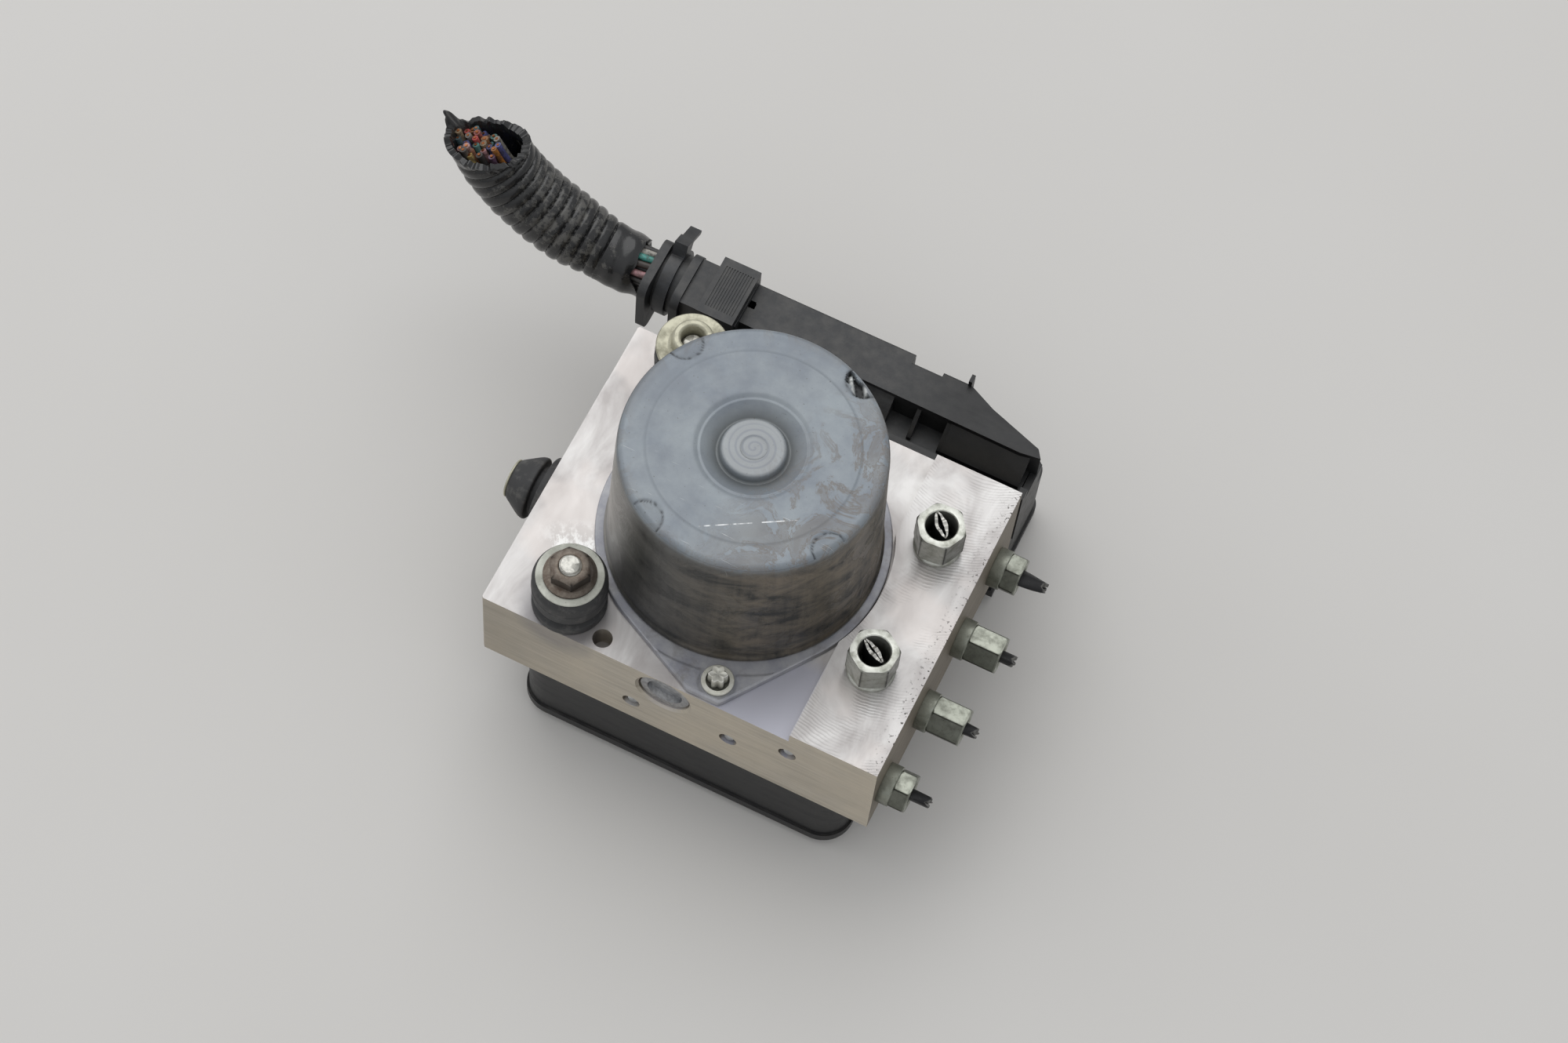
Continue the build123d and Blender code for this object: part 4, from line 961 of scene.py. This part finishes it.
FRONT_FOOT = (-32.0, -37.3, 58.0)
REAR_FOOT = (-33.6, 36.3, 57.6)
SIDE_FOOT = (-52.7, -5.7, 42.5)
surface("front_rubber", stood(turned(bobbin(15.4)), FRONT_FOOT), mount_rubber,
        "module", ["front_mount_rubber"])
surface("rear_rubber", stood(turned(bobbin(16.0)), REAR_FOOT), mount_rubber,
        "module", ["rear_mount_rubber"])
SIDE_BOBBIN = [
    (3.15, 0.02, 0), (9.9, 0.02, 0.3), (10.3, 0.4, 0.3), (10.3, 2.7, 0.3), (9.9, 3.1, 0.3),
    (6.6, 3.1, 0.4), (6.6, 5.0, 0.4), (8.5, 5.0, 0.3), (8.85, 5.4, 0.3), (8.8, 6.4, 0.6),
    (8.2, 7.6, 0.6), (5.6, 11.7, 0.4), (5.2, 12.0, 0.2), (3.15, 12.0, 0),
]
surface("side_rubber", stood(turned(rounded(SIDE_BOBBIN)), SIDE_FOOT, "-X"),
        mount_rubber, "module", ["side_mount_rubber"])

# %% Ring washer on the front mount
WASHER = [(3.2, 15.4, 0), (8.6, 15.4, 0.15), (8.95, 15.6, 0.15), (8.9, 16.0, 0.2),
          (8.0, 16.02, 0.1), (3.2, 15.96, 0)]
surface("ring_washer", stood(turned(rounded(WASHER)), FRONT_FOOT), washer_zinc,
        "module", ["front_mount_washer"])

# %% [markdown]
# ## Nuts and threads
#
# A nut is a hexagon cut by cones. In each direction the hexagon's edge is half its flats over
# the cosine of the angle from the nearest flat, and the cones allow a radius that changes with
# height. The smaller of the two is the nut's surface, which gives the curved facets where cone
# and flat meet. The pipe nuts stand on round collars and are hollow.
#
# A thread is a helix: its radius depends only on height minus pitch times turns, so a triangle
# wave of that quantity cuts it into a plain rod.

# %% Hexagons
def hexagon_edge(a, flats, corner=0.07):
    """Half the flats over the cosine from the nearest flat, with its corners just broken."""
    sixth = np.pi / 3
    off = np.abs(a % sixth - sixth / 2)
    sharp_edge = flats / 2 / np.cos(off)
    return np.minimum(sharp_edge, flats / math.sqrt(3) - corner + 0.3 * corner * np.cos(off * 6))


def hexagon_nut(flats, sections, inner, collar=0.0, bright=0.0, columns=240):
    """A nut's grid and its painted light, 1 where it is painted lit and 0 where it is in shade.

    sections are (height, largest radius) up the outside, and inner the profile of the bore.
    Rows up to the collar's height are full circles, and those above are cut by the hexagon.
    Facets are painted lit or in shade by the cosine of their angle from bright, to the power
    of 1.5, and dark lines run along their edges and round the top. The collar is painted the
    same way, and the bore is painted dark below its mouth, as shade.
    """
    a = circle(columns)
    sections = np.array(sections, float)
    hexagon = np.where(sections[:, :1] <= collar, 99.0, hexagon_edge(a, flats)[None])
    outside = np.minimum(hexagon, sections[:, 1:])
    outside = np.stack([outside * np.cos(a), outside * np.sin(a), sections[:, :1] + 0 * a],
                       axis=-1)
    # Painted light: a facet is lit by how near it faces bright, and its edges are darker lines.
    sixth = np.pi / 3
    facet = (np.floor(a / sixth) + 0.5) * sixth
    facing = np.maximum(np.cos(facet - math.radians(bright)), 0)
    tone = np.maximum(0.15 + 0.85 * facing ** 1.5, 0.3)
    edge = bell(sixth / 2 - np.abs(a % sixth - sixth / 2), 0.045)
    on_hexagon = sections[:, :1] > collar
    shade = np.where(on_hexagon, tone - 0.55 * edge, 0.62 + 0.3 * np.cos(a - math.radians(bright)))
    top = sections[-1, 0]
    rim = np.clip((sections[:, :1] - top + 0.75) / 0.75, 0, 1)
    shade = shade * (1 - rim) + rim * (0.66 - 0.64 * bell(rim - 0.15, 0.25))
    inner = np.array(inner, float)
    # Painted shade: the bore is dark below its mouth.
    bore = np.where(inner[:, 1:] > top - 0.5, 1.0, 0.05) + 0 * a
    grid = np.concatenate([outside, turned(inner, columns)])
    return grid, np.concatenate([shade, bore])


def cone(low, high, low_r, high_r, steps=10):
    """Heights and radii that change evenly from one pair to the other."""
    t = np.linspace(0, 1, steps)[:, None]
    return np.hstack([low + (high - low) * t, low_r + (high_r - low_r) * t]).tolist()


over_corners = 2 * float(hexagon_edge(np.array([0.0]), 10.0)[0])
print("a 10 mm hexagon is", round(over_corners, 2), "mm over corners")

# %% Pipe nuts
master_sections = (
    [(0.02, 6.2), (0.05, 6.4), (1.2, 6.45), (1.6, 6.1), (1.7, 5.9)] + cone(1.8, 2.6, 6.05, 7.0, 8)
    + cone(10.4, 11.1, 7.0, 7.0, 3) + cone(11.2, 11.95, 6.98, 6.4, 10) + [(12.0, 6.3)])
master_bore = [(4.55, 12.0), (4.3, 11.8), (4.2, 1.3), (2.45, 1.25), (2.45, 0.02)]
MASTER_SEATS = (((46.7, 19.2, 61.8), 4.0), ((46.3, -20.8, 61.8), 26.0))
# Their facets are painted lit towards bearing -112 degrees, and the others in shade.
made = [hexagon_nut(12.0, master_sections, master_bore, 1.75, -112.0 - turn)
        for _, turn in MASTER_SEATS]
surface("master_pipe_nuts", [stood(grid, seat, "Z", turn)
                             for (grid, _), (seat, turn) in zip(made, MASTER_SEATS)],
        nut_zinc, "module", ["master_tube_nuts"], sharp=24,
        colours=[grey(shade) for _, shade in made])


def wheel_nut(length, turn):
    """A pipe nut on a tall round collar, with a hexagon of the given length above it.

    It lies along X, where its angle 180 points up.
    """
    top = 3.5 + length
    outside = [(0.02, 5.3), (0.02, 5.5), (0.3, 5.6), (3.3, 5.6), (3.5, 5.4), (3.6, 5.2)]
    outside += cone(3.65, 4.1, 5.4, 5.85, 6) + cone(top - 1.4, top - 0.8, 5.85, 5.85, 3)
    outside += cone(top - 0.7, top - 0.05, 5.83, 5.3, 8) + [(top, 5.2)]
    # Its upper facets are painted lit and its lower ones in shade.
    return hexagon_nut(10.0, outside, [(3.6, top), (3.3, top - 0.3), (3.3, top / 2 + 1.25),
                                       (2.45, top / 2 + 1.2), (2.45, 0.02)], 3.62, 172.0 - turn)


WHEEL_SEATS = (((60.3, -38.6, 40.5), 4.5, 28.0), ((60.3, -15.4, 40.5), 9.2, 21.0),
               ((60.3, 7.8, 40.5), 9.2, 25.0), ((60.3, 31.0, 40.5), 4.5, 22.0))
made = [wheel_nut(length, turn) for _, length, turn in WHEEL_SEATS]
surface("wheel_pipe_nuts", [stood(grid, seat, "X", turn)
                            for (grid, _), (seat, _, turn) in zip(made, WHEEL_SEATS)],
        grey_zinc, "module", ["wheel_tube_nuts"], sharp=24,
        colours=[grey(shade) for _, shade in made])

# %% Flange nut on the front mount
# Its facets are painted lit towards bearing -140 degrees, and the others in shade.
flange_nut, shade = hexagon_nut(
    10.0, [(16.0, 6.8), (16.1, 7.0), (16.7, 7.0), (16.9, 6.8), (17.5, 6.0), (17.6, 5.9)]
    + cone(17.65, 18.2, 5.85, 5.85, 3) + cone(20.4, 21.3, 5.85, 4.75, 10) + [(21.4, 4.4)],
    [(3.3, 21.4), (3.02, 21.2), (3.02, 16.0)], 17.62, -140.0)
surface("rusty_flange_nut", stood(flange_nut, FRONT_FOOT, "Z", 0.0), rusted, "module",
        ["front_mount_nut"], sharp=24, colours=[grey(shade)])


# %% Threaded studs
def threaded(length, radius, pitch, plain_end):
    """A rod whose radius is cut by a triangle wave of height/pitch minus the turn's fraction."""
    columns, rows = 48, int(length / pitch * 10)
    a = circle(columns)
    height = np.linspace(0, length, rows)[:, None]
    phase = (height / pitch - a / (2 * np.pi)) % 1.0
    depth = 0.61 * pitch * (1 - np.abs(2 * phase - 1))
    fade = np.clip((height - plain_end) / pitch, 0, 1) * np.clip((length - height) / 0.8, 0.0, 1.0)
    end_cone = np.clip((length - height) / 0.7, 0, 1)
    r = radius - 0.6 * (1 - end_cone) - depth * fade
    rod = np.stack([r * np.cos(a), r * np.sin(a), height + 0 * a], axis=-1)
    foot = np.zeros_like(rod[:1])
    tip = foot + np.array([0.0, 0.0, length + 0.15])
    return np.concatenate([foot, rod, tip])


STUDS = (((-32.0, -37.3, 58.1), 22.1, "Z"), ((-33.6, 36.3, 57.7), 18.5, "Z"),
         ((-52.8, -5.7, 42.5), 12.1, "-X"))
surface("threaded_studs", [stood(threaded(length, 3.0, 1.0, 1.0), foot, axis)
                           for foot, length, axis in STUDS],
        stud_steel, "module", ["mount_studs"], ring_rows=False, sharp=50)

# %% [markdown]
# ## Sheared brake pipes
#
# Each pipe was nipped off with cutters just above its nut, which squeezed it flat and left a
# bright slit. Its section is a superellipse, |x/w|^n + |y/t|^n = 1, that goes from a circle
# (n = 2, w = t) to a lens (n = 1.55, wide, thin and pointed at both ends) as it rises. The
# surface runs up the outside, over a jagged lip, and down inside the slit. A colour attribute
# tells the black coat from bare steel, and its alpha says how metallic each point is.

# %% Squeezed pipe ends
def slot_section(a, half_width, half_thickness, power):
    """Superellipse points in direction a."""
    c, s = np.cos(a), np.sin(a)
    return (half_width * np.sign(c) * np.abs(c) ** (2 / power),
            half_thickness * np.sign(s) * np.abs(s) ** (2 / power))


PIPE_R = 2.37


def squeezed_pipe(tip, width, gape, taper, seed):
    """A pipe from round, at its foot, to a lens, at its torn tip, with the slit inside.

    gape is half the slit's width, and taper the part of the width that is lost by the tip.
    """
    a = circle(96)
    height = np.r_[0.3, np.linspace(1.2, tip, 26)][:, None]
    flat = 1 - step_down(height - 3.2, 3.0)
    narrow = 1 - taper * np.clip((height - 0.45 * tip) / (0.55 * tip), 0, 1) ** 2
    power = 2 - 0.45 * flat
    half_width = (PIPE_R + flat * (width / 2 - PIPE_R)) * narrow
    x, y = slot_section(a, half_width, PIPE_R - flat * (1.4 - gape - 0.7 * taper), power)
    jag = (0.16 * np.sin(5 * a + seed) + 0.14 * np.sin(11 * a + 2.1 * seed)
           + 1.4 * taper * np.sin(3 * a + seed))
    near_tip = np.clip((height - tip + 2.5) / 2.5, 0, 1)
    outside = np.stack([x, y, height + flat * jag * near_tip], axis=-1)
    depth = np.linspace(0, 3.0, 8)[:, None]
    closing = 1 - 0.35 * depth / 3.0
    lost = 1 - taper
    half_gape = gape * (1 + 0.3 * np.sin(3 * a + seed)) * closing
    x, y = slot_section(a, (width / 2 * lost - 0.45) * closing, half_gape, 1.6)
    inside = np.stack([x, y, tip - 0.05 + jag * np.exp(-depth) - depth], axis=-1)
    pole = np.zeros_like(inside[:1])
    foot, floor = pole + np.array([0.0, 0.0, 0.3]), pole + np.array([0.0, 0.0, tip - 3.2])
    grid = np.concatenate([foot, outside, inside, floor])
    coat, steel = np.array(linear("131315", 0.0)), np.array(linear("CDCBC5", 1.0))
    lip = np.zeros(grid.shape[:2])
    lip[len(outside):len(outside) + 2] = 1.0 - 0.75 * (taper > 0)
    lip *= 0.85 + 0.15 * np.sin(7 * a + seed)
    return grid, coat + lip[..., None] * (steel - coat)


# Each row is (foot, axis, turn, tip, width, gape, taper).
PIPES = [((46.5, 19.6, 61.8), "Z", -47.6, 11.7, 8.0, 0.62, 0.0),
         ((46.0, -20.6, 61.8), "Z", -29.2, 11.5, 8.0, 0.3, 0.0),
         ((60.3, -38.6, 40.5), "X", 38, 12.9, 6.6, 0.3, 0.4),
         ((60.3, -15.4, 40.5), "X", 50, 15.6, 6.4, 0.3, 0.45),
         ((60.3, 7.8, 40.5), "X", 33, 16.2, 6.0, 0.5, 0.25),
         ((60.3, 31.0, 40.5), "X", 62, 14.6, 7.0, 0.3, 0.5)]
made = [squeezed_pipe(*sizes, seed) for seed, (_, _, _, *sizes) in enumerate(PIPES)]
grids = [stood(grid, seat, axis, turn) for (grid, _), (seat, axis, turn, *_) in zip(made, PIPES)]
surface("sheared_pipe_ends", grids, pipe_coat, "module",
        ["cut_brake_pipes"], ring_rows=False, sharp=30,
        colours=[colour for _, colour in made])

# %% [markdown]
# ## The taped loom
#
# The cores leave the plug in a bundle. A hand's width further on they were cut
# through, so this stump is all that is left of the loom, and it is too short and stiff to hang:
# it rides with the plug. Its centre line is the one curve of fourth degree through five points.
# The tape is wound in a spiral whose turns overlap, so the radius swells once for each pitch
# along and each turn around: with f the fraction of along/pitch + angle/turn, the lap is
# 1 - |2f - 1|^3 of its full height.

# %% Loom route
LOOM_POINTS = np.array([(-64.5, 65, 48.0), (-78, 65, 50.4), (-92, 65.2, 56.2),
                        (-104, 65.6, 66.0), (-110.3, 66, 76.4)])
chord = np.r_[0, np.cumsum(np.linalg.norm(np.diff(LOOM_POINTS, axis=0), axis=1))]
loom_curve = [np.polynomial.Polynomial.fit(chord, LOOM_POINTS[:, k], 4) for k in range(3)]
LOOM_LENGTH = chord[-1]


def along_loom(s):
    """Centre, direction, and two crosswise unit vectors at distance s along the loom."""
    centre = np.stack([curve(s) for curve in loom_curve], axis=-1)
    ahead = unit(np.stack([curve.deriv()(s) for curve in loom_curve], axis=-1))
    side = unit(np.cross(ahead, np.array([0.0, 1.0, 0.0])))
    return centre, ahead, side, np.cross(side, ahead)


def about_loom(s, radius, a):
    """Points at distance s, radius and angle a about the loom; angle 0 is its outer side."""
    centre, _, side, cross = along_loom(s)
    return centre + radius[..., None] * (np.cos(a)[..., None] * side + np.sin(a)[..., None] * cross)


print("loom is", round(float(LOOM_LENGTH), 1), "mm long")

# %% Tape wound round the loom
# The cut is oblique: about its middle height it stands 3.5 mm up on the outer side and as much
# down on the inner, with 3 mm more up in front and down behind, and it leaves one thin torn
# tail. At the plug the last wrap is wide and smooth, and its lower side is stretched on to the
# plug's flange.
TAPE_PITCH = 3.6
COLUMNS, ROWS = 216, 340
LOW, OUT = math.radians(-62), 0.12
a = circle(COLUMNS)
u = np.linspace(0, 1, ROWS)[:, None]
from_low = np.angle(np.exp(1j * (a - LOW)))
from_tail = np.angle(np.exp(1j * (a - OUT)))
ragged_start = (0.3 * np.sin(3 * a) + 0.25 * np.sin(8 * a + 1.0) - 1.0
                - 4.4 * np.exp(-(from_low / 0.85) ** 4))
teeth = (0.45 * np.sin(7 * a + 2.0) * np.sin(3 * a) + 0.3 * np.sin(19 * a)
         + 0.25 * np.sin(31 * a + 1.0))
tail = 3.6 * bell(from_tail, 0.2)
cut_end = LOOM_LENGTH - 1.5 + 3.5 * np.cos(a) - 3.0 * np.sin(a) + teeth
s = ragged_start + u * (cut_end + tail - ragged_start)
wide_wrap = step_down(s - 8.6, 0.5)
body_r = 7.9 + 1.6 * (1 - step_down(s - 14.0, 16.0))
saw = (s / TAPE_PITCH + a / (2 * np.pi)) % 1.0
lap = 0.75 * (1 - np.abs(2 * saw - 1) ** 3) * (1 - wide_wrap) + 0.75 * wide_wrap
crease = 0.08 * np.sin(5 * a + 0.9 * s) * np.sin(2 * a - 0.31 * s)
crease += 0.22 * wide_wrap * np.sin(3 * a + 0.8 * s + 1.0) * np.sin(2 * a - 0.5 * s)
tight = 0.9 * step_down(s + 1.0, 5.0)
flare = (0.5 * (1 - step_down(s - cut_end + 1.0, 2.0))
         + 2.0 * (1 - step_down(s - cut_end - 2.0, 5.0)))
outside = about_loom(s, body_r + lap + crease + flare - tight, a + 0 * s)
wall = 0.9 + 0.9 * (0.5 - 0.5 * np.cos(a)) * (1 - step_down(s - LOOM_LENGTH + 14, 8.0))
thin = 0.55 * (1 - step_down(s - cut_end - 1.0, 2.0))
bore_r = (body_r + flare - tight - wall + thin)[::-1] + 0.1 * np.sin(6 * a)
inside = about_loom(s[::-1], bore_r, a + 0 * s)
surface("taped_sleeve", np.concatenate([outside, inside[::4]]), loom_tape, "plug",
        ["harness_tape"], sharp=50)

# %% [markdown]
# ## Cores of the loom
#
# Each core is a small tube about a line of its own. At the cut end the cores pack the sleeve in
# rings, stop at slightly different heights and lean outwards a little, and each shows a dot of
# copper. Between the plug's flange and the tape they run bare, slightly bowed. The tube's tip
# narrows to a flat face, and the copper strand stands just proud of it as a piece of its own.

# %% Cores
CORE_COLOURS = [
    "8E7A5E", "C24A48", "9C6A3E", "3F6A70", "4A5590", "B98A8E", "4F8580", "8A8580", "A8554E",
    "6A5244", "4D827C", "9A958C", "6468A6", "BE7A34", "7C5A78", "404042", "A86E50", "C0938C",
    "5A62A0", "B49A5C", "54504C", "7A4A48", "3E5A62",
]
scatter = np.random.default_rng(7)


def core(line, radius, columns=12):
    """A tube of one radius about line[row] = (x, y, z), closed by flat ends."""
    ahead = unit(np.gradient(line, axis=0))
    side = unit(np.cross(ahead, np.array([0.0, 1.0, 0.02])))
    cross = np.cross(side, ahead)
    a = circle(columns)[:, None]
    wall = line[:, None] + radius * (np.cos(a) * side[:, None] + np.sin(a) * cross[:, None])
    start = np.repeat(line[:1, None], columns, axis=1)
    end = np.repeat(line[-1:, None], columns, axis=1)
    return np.concatenate([start, wall, end])


def painted(grid, code):
    """One linear colour for every point of a grid."""
    return np.tile(np.array(linear(code)), (*grid.shape[:2], 1))


pack = [(0.0, 0.0)] + [(2.0, k * math.pi / 3) for k in range(6)]
pack += [(4.0, k * math.pi / 6 + 0.2) for k in range(12)]
pack += [(5.8, k * 0.34 - 1.6) for k in range(9)]
SHIFT = 2.0
cores, core_paint, strands = [], [], []
for number, (out, bearing) in enumerate(pack):
    across, back = out * math.cos(bearing) + SHIFT, out * math.sin(bearing)
    out, bearing = math.hypot(across, back), math.atan2(back, across)
    end = LOOM_LENGTH - 2.6 + 0.35 * across - 0.3 * back + scatter.uniform(-1.3, 1.3)
    s = np.linspace(LOOM_LENGTH - 14, end, 12)
    bend = np.linspace(0, 1, 12) ** 2
    line = about_loom(s, out * (1 + 0.04 * bend), bearing + 0.18 * bend * scatter.uniform(-1, 1))
    line[-3:] += scatter.uniform(-0.3, 0.3, 3) * np.array([[0.3], [0.6], [1.0]])
    radius = scatter.uniform(0.85, 1.05)
    cores.append(core(line, radius))
    core_paint.append(painted(cores[-1], CORE_COLOURS[number % len(CORE_COLOURS)]))
    tip = line[-1] - line[-2]
    tip /= np.linalg.norm(tip)
    strand_line = line[-1] + np.outer([-0.5, 0.0, scatter.uniform(0.1, 0.4)], tip)
    strands.append(core(strand_line, 0.42 * radius, 8))
print("cores at the cut end:", len(cores))

# %% Bare cores beside the plug
NECK_COLOURS = ["232325", "29292B", "C4C0B6", "4FB0A4", "3A2E28", "C08C90", "29292B", "202022",
                "2A2622", "232325", "1E1E20", "2C2C2E", "5A4438", "242426", "232325", "1E1E20"]
for number, code in enumerate(NECK_COLOURS):
    bearing = number / len(NECK_COLOURS) * 2 * math.pi + 0.2 * scatter.uniform(-1, 1)
    t = np.linspace(0, 1, 16)
    out = 5.2 + 0.7 * np.sin(np.pi * t) * scatter.uniform(0.2, 1.0)
    twist = bearing + 0.5 * t
    line = np.stack([-46.4 - 22.0 * t, 65 + out * np.cos(twist),
                     48.4 + 0.6 * t ** 2 + out * np.sin(twist)], axis=1)
    cores.append(core(line, 0.95))
    core_paint.append(painted(cores[-1], code))
filler = np.stack([-46.2 - 22.0 * np.linspace(0, 1, 8), np.full(8, 65.0), np.full(8, 48.5)],
                  axis=1)
cores.append(core(filler, 4.5))
core_paint.append(painted(cores[-1], "1E1E20"))
surface("loom_cores", cores, wire_pvc, "plug", ["harness_wires"],
        ring_rows=False, colours=core_paint)
copper = inner["commutator_copper"]
surface("loom_strands", strands, copper, "plug",
        ["harness_wires"], ring_rows=False)

# %% [markdown]
# ## Studio
#
# A plain pale floor, a large soft box overhead, a smaller one on the left, and a pale sky that
# is brighter above than at the horizon. Together they light an upward-facing surface so that
# its colour comes out about as it is written. The large box stands where the flat metal tops
# mirror it.

# %% Floor
floor_paint, tree, shader, mm = new_finish("pale_floor_paint", 0.0, 0.75)
cloudy = add(tree, "TexNoise", {0: mm, "Scale": 0.006, "Detail": 3.0})
tint = add(tree, "Mix", {0: cloudy, 6: "CBC8C4", 7: "D2D0CD"}, data_type="RGBA")
feed(shader, {"Base Color": tint})
floor_mesh = bpy.data.meshes.new("floor")
HALF, BELOW = 4, -0.0002
corners = [(-HALF, -HALF, BELOW), (HALF, -HALF, BELOW), (HALF, HALF, BELOW), (-HALF, HALF, BELOW)]
floor_mesh.from_pydata(corners, [], [(0, 1, 2, 3)])
floor_mesh.materials.append(floor_paint)
floor = bpy.data.objects.new("floor", floor_mesh)
bpy.context.collection.objects.link(floor)
print("floor is 8 m square")


# %% Lamps and sky
def soft_box(name, place, size, radiance):
    """A square lamp aimed at the unit; its power is radiance times pi times its area."""
    lamp = bpy.data.lights.new(name, "AREA")
    lamp.size = size
    lamp.energy = radiance * math.pi * size ** 2
    holder = bpy.data.objects.new(name, lamp)
    bpy.context.collection.objects.link(holder)
    aim = (Vector((0.0, 0.0, 0.05)) - Vector(place)).to_track_quat("-Z", "Y")
    holder.matrix_world = Matrix.Translation(place) @ aim.to_matrix().to_4x4()
    return holder


soft_box("soft_box_above", (-0.55, 0.75, 1.6), 1.7, 1.35)
soft_box("soft_box_left", (-1.8, -0.2, 0.9), 1.0, 0.8)

sky = bpy.data.worlds.new("pale_sky")
bpy.context.scene.world = sky
sky.use_nodes = True
tree = sky.node_tree
tree.nodes.clear()
direction = add(tree, "SeparateXYZ", {0: add(tree, "TexCoord").outputs["Generated"]}).outputs
lift = add(tree, "MapRange", {0: direction["Z"], 1: 0.0, 2: 0.9, 3: 0.45, 4: 0.85})
glow = add(tree, "Background", {0: "F4F6F8", 1: lift})
backdrop = add(tree, "Background", {0: "D6D4D1", 1: 1.0})
seen = add(tree, "LightPath").outputs["Is Camera Ray"]
both = add(tree, "MixShader", {0: seen, 1: glow, 2: backdrop})
add(tree, "OutputWorld", {0: both})
bpy.context.scene.view_settings.view_transform = "Standard"
